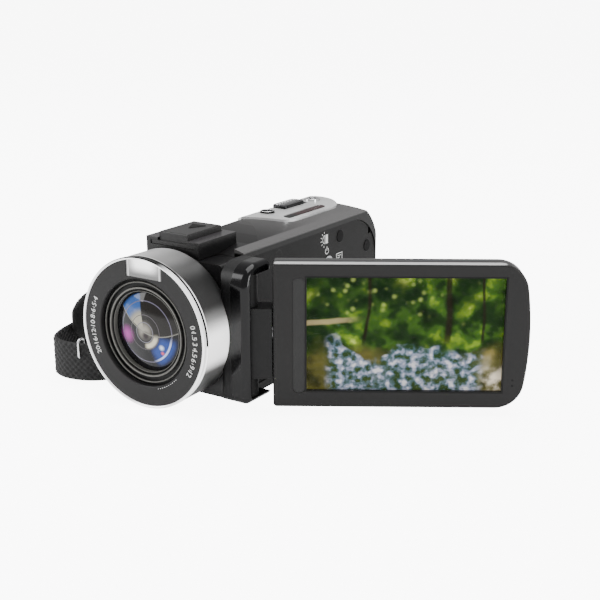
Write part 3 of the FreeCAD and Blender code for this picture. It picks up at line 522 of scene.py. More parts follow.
def instancer(name, sides):
    """A tree that puts a small disc on every point, facing along the point's own normal."""
    tree = bpy.data.node_groups.new(name, "GeometryNodeTree")
    tree.interface.new_socket("Geometry", in_out="INPUT", socket_type="NodeSocketGeometry")
    for title, value in (("Width", 0.0002), ("Length", 0.0008), ("Depth", 0.0001)):
        tree.interface.new_socket(title, in_out="INPUT", socket_type="NodeSocketFloat").default_value = value
    tree.interface.new_socket("Finish", in_out="INPUT", socket_type="NodeSocketMaterial")
    tree.interface.new_socket("Geometry", in_out="OUTPUT", socket_type="NodeSocketGeometry")
    start, end = tree.nodes.new("NodeGroupInput"), tree.nodes.new("NodeGroupOutput")
    stud = tree.nodes.new("GeometryNodeMeshCylinder")
    stud.inputs["Vertices"].default_value = sides
    stud.inputs["Radius"].default_value = 0.5
    stud.inputs["Depth"].default_value = 1.0
    size = tree.nodes.new("ShaderNodeCombineXYZ")
    for title, socket in (("Width", "X"), ("Length", "Y"), ("Depth", "Z")):
        tree.links.new(start.outputs[title], size.inputs[socket])
    facing = tree.nodes.new("GeometryNodeInputNamedAttribute")
    facing.data_type = "FLOAT_VECTOR"
    facing.inputs["Name"].default_value = "facing"
    heading = tree.nodes.new("GeometryNodeInputNamedAttribute")
    heading.data_type = "FLOAT_VECTOR"
    heading.inputs["Name"].default_value = "heading"
    first = tree.nodes.new("FunctionNodeAlignRotationToVector")
    first.axis = "Z"
    second = tree.nodes.new("FunctionNodeAlignRotationToVector")
    second.axis = "Y"
    second.pivot_axis = "Z"
    tree.links.new(facing.outputs["Attribute"], first.inputs["Vector"])
    tree.links.new(first.outputs["Rotation"], second.inputs["Rotation"])
    tree.links.new(heading.outputs["Attribute"], second.inputs["Vector"])
    place = tree.nodes.new("GeometryNodeInstanceOnPoints")
    real = tree.nodes.new("GeometryNodeRealizeInstances")
    finish_node = tree.nodes.new("GeometryNodeSetMaterial")
    tree.links.new(start.outputs["Geometry"], place.inputs["Points"])
    tree.links.new(stud.outputs["Mesh"], place.inputs["Instance"])
    tree.links.new(second.outputs["Rotation"], place.inputs["Rotation"])
    tree.links.new(size.outputs[0], place.inputs["Scale"])
    tree.links.new(place.outputs["Instances"], real.inputs["Geometry"])
    tree.links.new(real.outputs["Geometry"], finish_node.inputs["Geometry"])
    tree.links.new(start.outputs["Finish"], finish_node.inputs["Material"])
    tree.links.new(finish_node.outputs["Geometry"], end.inputs["Geometry"])
    return tree


tick_tree, dot_tree = instancer("small_ticks", 4), instancer("small_dots", 14)


def studded(name, tree, spots, sizes, material, body):
    """Run an instancer over (place, facing, heading) spots and keep the result as a plain mesh."""
    mesh = bpy.data.meshes.new(name)
    mesh.from_pydata([tuple(place) for place, facing, heading in spots], [], [])
    for title, column in (("facing", 1), ("heading", 2)):
        layer = mesh.attributes.new(title, "FLOAT_VECTOR", "POINT")
        for number, spot in enumerate(spots):
            layer.data[number].vector = spot[column]
    item = bpy.data.objects.new(name, mesh)
    bpy.context.scene.collection.objects.link(item)
    modifier = item.modifiers.new(name, "NODES")
    modifier.node_group = tree
    sockets = {socket.name: socket.identifier for socket in tree.interface.items_tree
               if socket.in_out == "INPUT"}
    for title, value in zip(("Width", "Length", "Depth"), sizes):
        modifier[sockets[title]] = value * MM
    modifier[sockets["Finish"]] = material
    bpy.context.view_layer.update()
    made = worked(item)
    item.modifiers.clear()
    item.data = made
    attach(item, body)
    return item


def round_axis(radius, degrees, y):
    turn = math.radians(degrees)
    outward = Vector((math.cos(turn), 0, math.sin(turn)))
    return Vector((0, y, AXIS * MM)) + outward * radius * MM, Vector((0, -1, 0)), outward


for item in (left_scale, right_scale):
    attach(item, "camera_body")
TICKS = (201, 193, 185, 177.5, 171, 165, 159, 11.5, 4.2, -3.2, -11, -17.8, -24.5)
studded("dial_ticks", tick_tree, [round_axis(SCALE_RADIUS, degrees, FACE) for degrees in TICKS],
        (0.22, 1.3, 2 * INK), white_ink, "camera_body")
studded("dial_dashes", tick_tree, [round_axis(19.3, degrees, FACE) for degrees in range(-72, -44, 3)],
        (0.6, 0.22, 2 * INK), white_ink, "camera_body")

# ---- Light window and light board ----------------------------------------------------------------
# A frosted white window in the face ring, with three bright chips on a board behind it.
window_paint = finish("frosted_window", (0.5, 0.5, 0.49), (0.9, 0.9, 0.89), 0.25, coat=0.5, grain=3000.0)
window_tree = window_paint.node_tree
window_shader = window_tree.nodes["Principled BSDF"]
WINDOW_MIDDLE, WINDOW_LINE = 0.0014, 0.0066
window_place = object_place(window_tree)
from_middle = op(window_tree, "ABSOLUTE", op(window_tree, "SUBTRACT", window_place[0], WINDOW_MIDDLE))
frost = window_tree.nodes.new("ShaderNodeTexNoise")
frost.inputs["Scale"].default_value = 500.0
line_gap = op(window_tree, "ABSOLUTE", op(window_tree, "SUBTRACT", from_middle, WINDOW_LINE))
side_lines = op(window_tree, "MULTIPLY", ease(window_tree, line_gap, 0.0005, 0.0001), 0.6)
lit_top = op(window_tree, "MULTIPLY", ease(window_tree, window_place[2], 0.0478, 0.0515),
             ease(window_tree, from_middle, 0.0075, 0.002))
lit_window = op(window_tree, "ADD", op(window_tree, "MAXIMUM", lit_top, side_lines),
                op(window_tree, "MULTIPLY", frost.outputs["Fac"], 0.25), clamp=True)
window_tree.links.new(blend_colour(window_tree, lit_window, (0.1, 0.1, 0.1), (1.0, 1.0, 1.0)),
                      window_shader.inputs["Base Color"])
window_tree.links.new(blend_colour(window_tree, lit_top, (0.0, 0.0, 0.0), (1.0, 1.0, 1.0)),
                      window_shader.inputs["Emission Color"])
window_shader.inputs["Emission Strength"].default_value = 1.5
paint_node("light_window", window_paint)
paint_node("light_board", finish("light_board_white", (0.7, 0.7, 0.66), (0.8, 0.8, 0.76), 0.5))

# ---- Lens mouth ----------------------------------------------------------------------------------
# A stepped matt black funnel that stops stray light.
# The crest of each step carries a painted highlight, a thin grey line.
funnel_paint, funnel_tree, funnel_brush = turned("stepped_black", 0.5, 0.0, 0.1, 6000.0)
funnel_radius = funnel_brush.outputs["Radius"]
painted_crest_highlights = None
# Painted highlight: a thin grey line at the radius of each crest.
for crest, width, level in ((13.95, 0.3, 0.7), (15.15, 0.42, 1.0), (17.2, 0.34, 0.75)):
    near = op(funnel_tree, "ABSOLUTE", op(funnel_tree, "SUBTRACT", funnel_radius, crest * MM))
    line = op(funnel_tree, "MULTIPLY", ease(funnel_tree, near, width * MM, width * 0.4 * MM), level)
    painted_crest_highlights = line if painted_crest_highlights is None else op(funnel_tree, "MAXIMUM", painted_crest_highlights, line)
funnel_tree.links.new(blend_colour(funnel_tree, painted_crest_highlights, (0.002, 0.002, 0.002), (0.16, 0.157, 0.145)),
                      funnel_tree.nodes["Principled BSDF"].inputs["Base Color"])
paint_node("lens_baffle", funnel_paint)

# ---- Lens glasses --------------------------------------------------------------------------------
# Three polished elements in a black cell. The front one carries painted reflections: patches of blue, violet
# and cream from its anti-reflection coats, and each ground edge as a thin bright circle.
coat_paint, coat_tree, coat_brush = turned("coated_glass", 0.06, 0.0, 0.0)
coat_shader = coat_tree.nodes["Principled BSDF"]
coat_place = object_place(coat_tree)
GLASS = 13.9 * MM
wide = op(coat_tree, "DIVIDE", coat_place[0], GLASS)
tall = op(coat_tree, "DIVIDE", op(coat_tree, "SUBTRACT", coat_place[2], AXIS * MM), GLASS)
reach = op(coat_tree, "DIVIDE", coat_brush.outputs["Radius"], GLASS)
angle = coat_brush.outputs["Turn"]


def both(*masks):
    product = masks[0]
    for mask in masks[1:]:
        product = op(coat_tree, "MULTIPLY", product, mask)
    return product


def spot(cx, cy, size, soft=1.0):
    dx, dy = op(coat_tree, "SUBTRACT", wide, cx), op(coat_tree, "SUBTRACT", tall, cy)
    away = op(coat_tree, "SQRT", op(coat_tree, "ADD", op(coat_tree, "MULTIPLY", dx, dx),
                                    op(coat_tree, "MULTIPLY", dy, dy)))
    return ease(coat_tree, away, size, size * (1 - soft))


def circle(radius, width):
    gap = op(coat_tree, "ABSOLUTE", op(coat_tree, "SUBTRACT", reach, radius))
    return ease(coat_tree, gap, width, width * 0.3)


offset = op(coat_tree, "SUBTRACT", wide, 0.35)
fold = op(coat_tree, "MULTIPLY", op(coat_tree, "MULTIPLY", offset, offset), 0.45)
over_fold = op(coat_tree, "SUBTRACT", tall, op(coat_tree, "SUBTRACT", fold, 0.05))
within_rim = ease(coat_tree, reach, 0.97, 0.9)
veil = both(ease(coat_tree, over_fold, -0.01, 0.02), within_rim)
fold_line = both(ease(coat_tree, op(coat_tree, "ABSOLUTE", over_fold), 0.022, 0.006), within_rim)
sector = both(ease(coat_tree, angle, 1.78, 1.86), ease(coat_tree, angle, 2.66, 2.58), veil)
lower_right = both(ease(coat_tree, angle, -1.35, -0.95), ease(coat_tree, angle, 0.0, -0.35))
# Painted reflections, each a mask and its colour; the small centre spot is a painted dark reflection.
layers = [
    (veil, (0.012, 0.0105, 0.009)),
    (both(sector, ease(coat_tree, reach, 0.42, 0.6), ease(coat_tree, reach, 0.99, 0.95)),
     (0.03, 0.085, 0.27)),
    (both(sector, ease(coat_tree, reach, 0.66, 0.4)), (0.34, 0.32, 0.25)),
    (spot(-0.58, -0.14, 0.3), (0.32, 0.025, 0.26)),
    (both(lower_right, ease(coat_tree, reach, 0.34, 0.55), ease(coat_tree, reach, 0.95, 0.8)),
     (0.02, 0.055, 0.26)),
    (spot(0.47, -0.32, 0.1), (0.7, 0.78, 1.0)),
    (spot(0.48, -0.46, 0.07), (0.8, 0.1, 0.12)),
    (spot(0.0, 0.04, 0.3, 0.9), (0.3, 0.28, 0.24)),
    (spot(0.04, -0.08, 0.17, 0.8), (0.02, 0.014, 0.016)),
    (both(circle(0.34, 0.09), ease(coat_tree, angle, -1.7, -1.3), ease(coat_tree, angle, 0.1, -0.5)),
     (0.62, 0.58, 0.44)),
    (circle(0.76, 0.018), (0.13, 0.12, 0.17)),
    (both(circle(0.74, 0.035), lower_right), (0.5, 0.58, 0.95)),
    (circle(0.43, 0.013), (0.09, 0.08, 0.09)),
    (circle(0.25, 0.016), (0.16, 0.155, 0.18)),
    (fold_line, (0.2, 0.195, 0.17)),
]
coat_painted_reflections = (0.004, 0.004, 0.005)
for mask, colour in layers:
    coat_painted_reflections = blend_colour(coat_tree, mask, coat_painted_reflections, colour)
coat_tree.links.new(coat_painted_reflections, coat_shader.inputs["Base Color"])
# The painted reflections also glow faintly.
coat_tree.links.new(coat_painted_reflections, coat_shader.inputs["Emission Color"])
coat_shader.inputs["Emission Strength"].default_value = 0.25
coat_shader.inputs["Coat Weight"].default_value = 0.15
coat_shader.inputs["Coat Roughness"].default_value = 0.02
paint_node("front_lens", coat_paint)
inner_glass = finish("inner_glass", (0.02, 0.02, 0.03), (0.03, 0.03, 0.045), 0.08, coat=1.0)
for element in ("second_lens", "rear_lens"):
    paint_node(element, inner_glass)
cell_paint = finish("lens_cell_black", (0.003, 0.003, 0.003), (0.005, 0.005, 0.005), 0.6)
paint_node("lens_cell", cell_paint)
board_paint = finish("board_green", (0.015, 0.07, 0.03), (0.02, 0.1, 0.045), 0.45)
for board in ("sensor_board", "main_board"):
    paint_node(board, board_paint)

# ---- Accessory shoe and its cover ----------------------------------------------------------------
# A black anodised shoe on the crown, open to the front, with a moulded slide-in cover.
# The cover has a raised triangle that shows which way it slides.
shoe_paint = finish("shoe_black", (0.004, 0.0038, 0.004), (0.006, 0.0057, 0.006), 0.32, relief=0.08,
                    grain=5000.0, specular=0.4)
shoe_tree = shoe_paint.node_tree
# Painted highlight: the top faces of the shoe are lighter than its sides.
shoe_tree.links.new(blend_colour(shoe_tree, ease(shoe_tree, object_place(shoe_tree)[2], 0.0562, 0.0566),
                                 (0.0045, 0.0043, 0.0046), (0.035, 0.033, 0.035)),
                    shoe_tree.nodes["Principled BSDF"].inputs["Base Color"])
paint_node("shoe", shoe_paint)
cover_paint = finish("cover_satin", (0.017, 0.0165, 0.017), (0.022, 0.0215, 0.0215), 0.4, relief=0.08,
                     grain=5000.0, specular=0.35)
paint_node("shoe_cover", cover_paint)
COVER_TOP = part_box("shoe_cover")[1].z


def on_cover(x, y, rise):
    return Vector((x * MM, y * MM, COVER_TOP + rise * MM))


arrow = joined("cover_arrow", [slab([(-2.9, -27.5), (2.9, -27.5), (0.0, -33.5)], on_cover, -0.05, 0.18)],
               finish("arrow_black", (0.001, 0.001, 0.001), (0.002, 0.002, 0.002), 0.6))
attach(arrow, "shoe_cover")

# ---- Hinge pod and hinge block -------------------------------------------------------------------
# A gloss black arch beside the lens, with a steel pin inside that the hinge block turns on.
pod_paint = finish("pod_piano_black", (0.0015, 0.0015, 0.0018), (0.002, 0.002, 0.0023), 0.12, spread=0.03,
                   relief=0.0, specular=0.3)
pod_tree = pod_paint.node_tree
pod_shader = pod_tree.nodes["Principled BSDF"]
on_arch = ease(pod_tree, object_place(pod_tree)[0], 0.0262, 0.0266)
pod_rough = blend_colour(pod_tree, on_arch, (0.42, 0.42, 0.42), (0.12, 0.12, 0.12))
pod_tree.links.new(pod_rough, pod_shader.inputs["Roughness"])
paint_node("hinge_pod", pod_paint)
paint_node("hinge_block", finish("hinge_satin", (0.008, 0.0078, 0.008), (0.01, 0.0097, 0.01), 0.4,
                                 relief=0.05))
paint_node("hinge_collars", cell_paint)
steel = finish("plain_steel", (0.42, 0.42, 0.43), (0.52, 0.52, 0.53), 0.3, metal=1.0)
for pin in ("hinge_pin", "flip_shaft", "rocker_pin", "port_cover_pin", "microphone"):
    paint_node(pin, steel)

# ---- Screen panel --------------------------------------------------------------------------------
# Two moulded halves screwed together around the display, with a clear window in the front half
# and a lighter strip moulded in beside it.
OPEN = math.radians(58.5)
HINGE = Vector((28.5 * MM, -39.2 * MM, 0))
OUTWARD = Vector((math.sin(OPEN), math.cos(OPEN), 0))
FACING = Vector((math.cos(OPEN), -math.sin(OPEN), 0))
PANEL_DEPTH = 4.2
bezel_paint = finish("bezel_graphite", (0.0145, 0.014, 0.014), (0.0165, 0.016, 0.016), 0.36, relief=0.03)
bezel_tree = bezel_paint.node_tree
edge_place = bezel_tree.nodes.new("ShaderNodeTexCoord")
edge_depth = bezel_tree.nodes.new("ShaderNodeVectorMath")
edge_depth.operation = "DOT_PRODUCT"
bezel_tree.links.new(edge_place.outputs["Object"], edge_depth.inputs[0])
edge_depth.inputs[1].default_value = FACING
edge_start = HINGE.dot(FACING) + 0.0016
# Painted highlight: a pale line along the top edge of the bezel, where the light catches it.
top_edge_painted_highlight = op(bezel_tree, "MULTIPLY", ease(bezel_tree, object_place(bezel_tree)[2], 0.05235, 0.0526),
              ease(bezel_tree, edge_depth.outputs["Value"], edge_start, edge_start + 0.0003))
bezel_tree.links.new(blend_colour(bezel_tree, top_edge_painted_highlight, (0.0155, 0.015, 0.015), (0.5, 0.5, 0.5)),
                     bezel_tree.nodes["Principled BSDF"].inputs["Base Color"])
paint_node("screen_bezel", bezel_paint)
paint_node("screen_back", finish("lid_gloss", (0.01, 0.0097, 0.0097), (0.013, 0.0126, 0.0126), 0.2,
                                 relief=0.01, specular=0.45))
paint_node("bezel_strip", finish("strip_grey", (0.024, 0.024, 0.024), (0.027, 0.027, 0.027), 0.4))
dark_screw = finish("screw_black", (0.03, 0.03, 0.03), (0.05, 0.05, 0.05), 0.35, metal=0.8)
for screw in ("screen_screws", "base_screws"):
    paint_node(screw, dark_screw)



def on_screen(s, z, rise):
    return HINGE + OUTWARD * s * MM + FACING * (PANEL_DEPTH + rise) * MM + Vector((0, 0, z * MM))


# ---- Display -------------------------------------------------------------------------------------
# The lit picture under the glass: a soft, out-of-focus garden with sky spots between leaves, a pale
# rail, a bed of blue and white flowers and a sunlit path. It is drawn in the panel's own two directions.
picture = bpy.data.materials.new("garden_picture")
picture.use_nodes = True
tree = picture.node_tree
shader = tree.nodes["Principled BSDF"]
place = tree.nodes.new("ShaderNodeTexCoord")
dot = tree.nodes.new("ShaderNodeVectorMath")
dot.operation = "DOT_PRODUCT"
tree.links.new(place.outputs["Object"], dot.inputs[0])
dot.inputs[1].default_value = OUTWARD
split = tree.nodes.new("ShaderNodeSeparateXYZ")
tree.links.new(place.outputs["Object"], split.inputs[0])
PICTURE_START, PICTURE_WIDE, PICTURE_LOW, PICTURE_TALL = 0.0195, 0.0646, 0.0088, 0.039
picture_left = HINGE.dot(OUTWARD) + PICTURE_START
pic_x = op(tree, "DIVIDE", op(tree, "SUBTRACT", dot.outputs["Value"], picture_left), PICTURE_WIDE)
pic_y = op(tree, "DIVIDE", op(tree, "SUBTRACT", split.outputs[2], PICTURE_LOW), PICTURE_TALL)
canvas = tree.nodes.new("ShaderNodeCombineXYZ")
tree.links.new(op(tree, "MULTIPLY", pic_x, 1.65), canvas.inputs[0])
tree.links.new(pic_y, canvas.inputs[1])


def cloudy(scale, detail, shift):
    noise = tree.nodes.new("ShaderNodeTexNoise")
    noise.inputs["Scale"].default_value = scale
    noise.inputs["Detail"].default_value = detail
    move = tree.nodes.new("ShaderNodeVectorMath")
    move.inputs[1].default_value = (shift, shift * 0.7, 0)
    tree.links.new(canvas.outputs[0], move.inputs[0])
    tree.links.new(move.outputs[0], noise.inputs["Vector"])
    return noise.outputs["Fac"]


leaves = stops(tree, cloudy(5.5, 6.0, 1.3), [(0.3, (0.002, 0.006, 0.001)), (0.44, (0.008, 0.024, 0.004)),
                                             (0.54, (0.03, 0.075, 0.008)), (0.63, (0.12, 0.2, 0.015)),
                                             (0.74, (0.36, 0.45, 0.07))])
ground = stops(tree, cloudy(4.0, 5.0, 7.1), [(0.3, (0.012, 0.014, 0.004)), (0.5, (0.07, 0.065, 0.015)),
                                             (0.7, (0.2, 0.16, 0.05))])
shade = ease(tree, cloudy(2.1, 3.0, 4.4), 0.4, 0.62)
leaves = blend_colour(tree, op(tree, "MULTIPLY", shade, 0.85), leaves, (0.003, 0.011, 0.003))
bokeh = tree.nodes.new("ShaderNodeTexVoronoi")
bokeh.inputs["Scale"].default_value = 13.0
tree.links.new(canvas.outputs[0], bokeh.inputs["Vector"])
lights = op(tree, "MULTIPLY", ease(tree, bokeh.outputs["Distance"], 0.42, 0.05),
            op(tree, "MULTIPLY", ease(tree, cloudy(2.6, 2.0, 9.0), 0.5, 0.62), ease(tree, pic_y, 0.45, 0.75)))
scene_colour = blend_colour(tree, op(tree, "MULTIPLY", lights, 0.4), leaves, (0.4, 0.5, 0.12))
low_edge = op(tree, "ADD", pic_y, op(tree, "MULTIPLY", cloudy(3.0, 3.0, 2.0), 0.4))
scene_colour = blend_colour(tree, ease(tree, low_edge, 0.62, 0.45), scene_colour, ground)
for trunk, width in ((0.3, 0.012), (0.71, 0.018), (0.9, 0.01)):
    lean = op(tree, "ADD", pic_x, op(tree, "MULTIPLY", cloudy(1.4, 1.0, trunk), 0.1))
    mask = ease(tree, op(tree, "ABSOLUTE", op(tree, "SUBTRACT", lean, trunk + 0.05)), width, width * 0.4)
    mask = op(tree, "MULTIPLY", mask, ease(tree, pic_y, 0.38, 0.48))
    scene_colour = blend_colour(tree, op(tree, "MULTIPLY", mask, 0.85), scene_colour, (0.01, 0.007, 0.004))
rail_line = op(tree, "ADD", op(tree, "MULTIPLY", pic_x, 0.14),
               op(tree, "MULTIPLY", cloudy(6.0, 2.0, 3.1), 0.03))
rail = op(tree, "ABSOLUTE", op(tree, "SUBTRACT", pic_y, op(tree, "ADD", 0.58, rail_line)))
rail_mask = op(tree, "MULTIPLY", ease(tree, rail, 0.034, 0.012), ease(tree, pic_x, 0.3, 0.14))
scene_colour = blend_colour(tree, op(tree, "MULTIPLY", rail_mask, 0.8), scene_colour, (0.3, 0.24, 0.12))
sunlit = op(tree, "MULTIPLY", ease(tree, pic_x, 0.8, 0.98), ease(tree, low_edge, 0.5, 0.3))
sunlit = op(tree, "MULTIPLY", sunlit, ease(tree, cloudy(7.0, 4.0, 3.3), 0.35, 0.6))
scene_colour = blend_colour(tree, sunlit, scene_colour, (0.75, 0.66, 0.5))
bed = op(tree, "ADD", op(tree, "MULTIPLY", cloudy(2.6, 3.0, 8.4), 0.9), op(tree, "MULTIPLY", pic_y, -0.75))
bed_ends = ease(tree, op(tree, "ABSOLUTE", op(tree, "SUBTRACT", pic_x, 0.5)), 0.42, 0.36)
bed = op(tree, "MULTIPLY", ease(tree, bed, 0.12, 0.2), bed_ends)
petals = stops(tree, cloudy(13.0, 2.0, 5.2), [(0.38, (0.012, 0.035, 0.01)), (0.48, (0.05, 0.09, 0.11)),
                                              (0.56, (0.2, 0.23, 0.32)), (0.68, (0.55, 0.54, 0.56))])
scene_colour = blend_colour(tree, op(tree, "MULTIPLY", bed, 0.85), scene_colour, petals)
tree.links.new(scene_colour, shader.inputs["Base Color"])
tree.links.new(scene_colour, shader.inputs["Emission Color"])
shader.inputs["Emission Strength"].default_value = 0.75
shader.inputs["Roughness"].default_value = 0.5
shader.inputs["Specular IOR Level"].default_value = 0.05
paint_node("screen_display", picture)

clear = finish("clear_window", (0.01, 0.01, 0.01), (0.02, 0.02, 0.02), 0.08, spread=0.02, relief=0.0)
clear.node_tree.nodes["Principled BSDF"].inputs["Alpha"].default_value = 0.05
paint_node("screen_glass", clear)

frame_outline = []
LEFT, RIGHT, BOTTOM, TOP, SILL = 19.5, 84.1, 9.0, 48.0, 0.55
for low_s, high_s, low_z, high_z in ((LEFT - SILL, RIGHT + SILL, TOP, TOP + SILL),
                                     (LEFT - SILL, RIGHT + SILL, BOTTOM - SILL, BOTTOM),
                                     (LEFT - SILL, LEFT, BOTTOM, TOP), (RIGHT, RIGHT + SILL, BOTTOM, TOP)):
    frame_outline.append([(low_s, low_z), (high_s, low_z), (high_s, high_z), (low_s, high_z)])
view_frame = joined("view_frame", [slab(side, on_screen, -0.1, 0.04) for side in frame_outline],
                    finish("frame_black", (0.002, 0.002, 0.002), (0.004, 0.004, 0.004), 0.3))
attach(view_frame, "screen")
UP = Vector((0, 0, 1))
studded("panel_pinholes", dot_tree, [(on_screen(87.6, z, 0), FACING, UP) for z in (11.2, 13.2)],
        (0.7, 0.7, 0.06), cell_paint, "screen")

# ---- Top plate and controls ----------------------------------------------------------------------
# A silver-lacquered plate let into the crown, with the photo button, the zoom rocker, the mode
# button and a deep red window for the status lamp.
plate_paint = finish("silver_lacquer", (0.6, 0.6, 0.6), (0.85, 0.85, 0.85), 0.22, metal=0.55, relief=0.02)
paint_node("top_plate", plate_paint)
paint_node("photo_button", button_paint)
rocker_paint = finish("dark_chrome", (0.012, 0.012, 0.013), (0.03, 0.03, 0.032), 0.16, metal=0.6, relief=0.0)
paint_node("zoom_rocker", rocker_paint)
chrome = finish("bright_chrome", (0.75, 0.75, 0.76), (0.85, 0.85, 0.86), 0.1, metal=1.0, relief=0.0)
paint_node("mode_button", chrome)
paint_node("rocker_bracket", cell_paint)


def hoop(name, path, normal, wire, material, sides=10):
    """A closed wire that follows a flat loop of points."""
    points, faces, count = [], [], len(path)
    for i, spot in enumerate(path):
        ahead = (path[(i + 1) % count] - path[i - 1]).normalized()
        sideways = ahead.cross(normal).normalized()
        turns = [2 * math.pi * k / sides for k in range(sides)]
        points += [spot + (sideways * math.cos(turn) + normal * math.sin(turn)) * wire for turn in turns]
        start, after = i * sides, (i + 1) % count * sides
        faces += [(start + k, start + (k + 1) % sides, after + (k + 1) % sides, after + k)
                  for k in range(sides)]
    return solid(name, points, faces, material, True)


def top_ring(name, node, radius, body):
    """A chrome ring laid round the top of a button."""
    low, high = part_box(node)
    centre = Vector(((low.x + high.x) / 2, (low.y + high.y) / 2, high.z - 0.0001))
    path = [centre + Vector((math.cos(2 * math.pi * i / 40), math.sin(2 * math.pi * i / 40), 0)) * radius * MM
            for i in range(40)]
    ring = hoop(name, path, UP, 0.00025, chrome)
    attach(ring, body)


top_ring("photo_button_ring", "photo_button", 2.3, "photo_button")
top_ring("mode_button_ring", "mode_button", 1.9, "mode_button")
mode_low, mode_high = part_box("mode_button")
mode_centre = Vector(((mode_low.x + mode_high.x) / 2, (mode_low.y + mode_high.y) / 2, mode_high.z))
studded("mode_button_centre", dot_tree, [(mode_centre, UP, Vector((0, 1, 0)))], (3.2, 3.2, 0.16),
        button_paint, "mode_button")
rocker_low, rocker_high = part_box("zoom_rocker")
RIB_PITCH = 1.9
rib_spots = [(Vector(((rocker_low.x + rocker_high.x) / 2,
                      (rocker_low.y + rocker_high.y) / 2 + i * RIB_PITCH * MM, rocker_high.z)),
              UP, Vector((1, 0, 0))) for i in range(-3, 4)]
studded("rocker_ribs", dot_tree, rib_spots, (0.7, 4.6, 0.4), chrome, "zoom_rocker")
maroon = finish("smoked_red", (0.035, 0.006, 0.009), (0.06, 0.01, 0.014), 0.3, relief=0.0, specular=0.12)
maroon_tree = maroon.node_tree
rear_end = ease(maroon_tree, object_place(maroon_tree)[1], 0.014, 0.02)
maroon_tree.links.new(blend_colour(maroon_tree, rear_end, (0.001, 0.001, 0.001), (0.02, 0.0025, 0.004)),
                      maroon_tree.nodes["Principled BSDF"].inputs["Base Color"])
paint_node("indicator_window", maroon)

# ---- Rear controls, sockets and base -------------------------------------------------------------
# The record button is a satin ring round a red centre. A soft rubber flap covers the sockets,
# the battery door slides to the rear, and a turned brass insert takes the tripod screw.
RECORD_X, RECORD_Z, RED_RADIUS = -0.011, 0.030, 0.0022
record_paint, record_tree = turned("record_satin", 0.25, 1.0, 0.05)[:2]
record_place = object_place(record_tree)
rec_dx = op(record_tree, "SUBTRACT", record_place[0], RECORD_X)
rec_dz = op(record_tree, "SUBTRACT", record_place[2], RECORD_Z)
rec_r = op(record_tree, "SQRT", op(record_tree, "ADD", op(record_tree, "MULTIPLY", rec_dx, rec_dx),
                                   op(record_tree, "MULTIPLY", rec_dz, rec_dz)))
red = ease(record_tree, rec_r, RED_RADIUS + 0.0002, RED_RADIUS)
record_tree.links.new(blend_colour(record_tree, red, (0.6, 0.6, 0.61), (0.6, 0.02, 0.02)),
                      record_tree.nodes["Principled BSDF"].inputs["Base Color"])
paint_node("record_button", record_paint)
rubber = finish("black_rubber", (0.006, 0.006, 0.006), (0.01, 0.01, 0.01), 0.7, relief=0.12, grain=4000.0)
for soft in ("port_cover", "feet"):
    paint_node(soft, rubber)
paint_node("port_sockets", cell_paint)
paint_node("battery_door", panel_paint)
for part in ("battery", "memory_card", "speaker"):
    paint_node(part, cell_paint)
paint_node("tripod_insert", finish("turned_brass", (0.6, 0.42, 0.16), (0.7, 0.52, 0.22), 0.28, metal=1.0))
for anchor in ("strap_anchor_front", "strap_anchor_rear"):
    paint_node(anchor, front_paint)
speaker_low, speaker_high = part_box("speaker")
HOLE_PITCH = 2.1
shell = nodes["main_shell"]
hole_spots = []
for column in range(6):
    for row in range(5):
        start = Vector((-0.08, speaker_low.y + (1.5 + column * HOLE_PITCH) * MM,
                        speaker_low.z + (2.0 + row * HOLE_PITCH) * MM))
        found, spot, normal, face = shell.ray_cast(start, Vector((1, 0, 0)))
        if found:
            hole_spots.append((spot, normal, UP))
studded("speaker_holes", dot_tree, hole_spots, (1.1, 1.1, 0.06), cell_paint, "camera_body")
door_low, door_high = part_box("battery_door")
door_ribs = [(Vector(((door_low.x + door_high.x) / 2, door_high.y - (6 + i * 1.8) * MM, door_low.z)),
              Vector((0, 0, -1)), Vector((1, 0, 0))) for i in range(6)]
studded("battery_door_ribs", dot_tree, door_ribs, (0.8, 12, 0.5), panel_paint, "battery_door")

# ---- Hand strap webbing --------------------------------------------------------------------------
# A 14 mm black polyester webbing, woven coarse, from the front anchor round the hand to the rear one.
# It lies on the same course as the strap's solid.
ROUTE = ((-22.0, -37.0, 9.0), (-33.0, -48.5, 8.2), (-46.0, -51.5, 8.2), (-52.4, -45.0, 9.2),
         (-52.4, -20.0, 12.0), (-48.5, 12.0, 17.0), (-37.0, 36.0, 20.0), (-21.5, 44.0, 20.0))


def course(count):
    """Evenly spaced (place, inward direction) pairs along a smooth line through the route."""
    knots = [Vector(p) for p in ROUTE]
    knots = [knots[0] * 2 - knots[1]] + knots + [knots[-1] * 2 - knots[-2]]
    fine = []
    for a, b, c, d in zip(knots, knots[1:], knots[2:], knots[3:]):
        for i in range(60):
            t = i / 60
            fine.append(0.5 * (2 * b + (c - a) * t + (2 * a - 5 * b + 4 * c - d) * t ** 2
                               + (3 * b - a - 3 * c + d) * t ** 3))
    fine.append(knots[-2])
    walked = [0.0]
    for a, b in zip(fine, fine[1:]):
        walked.append(walked[-1] + (b - a).length)
    spots, here = [], 0
    for i in range(count + 1):
        goal = walked[-1] * i / count
        while here < len(fine) - 2 and walked[here + 1] < goal:
            here += 1
        part = (goal - walked[here]) / max(walked[here + 1] - walked[here], 1e-9)
        ahead = fine[here + 1] - fine[here]
        inward = Vector((ahead.y, -ahead.x, 0)).normalized()
        spots.append((fine[here].lerp(fine[here + 1], min(part, 1.0)), inward))
    return spots, walked[-1]


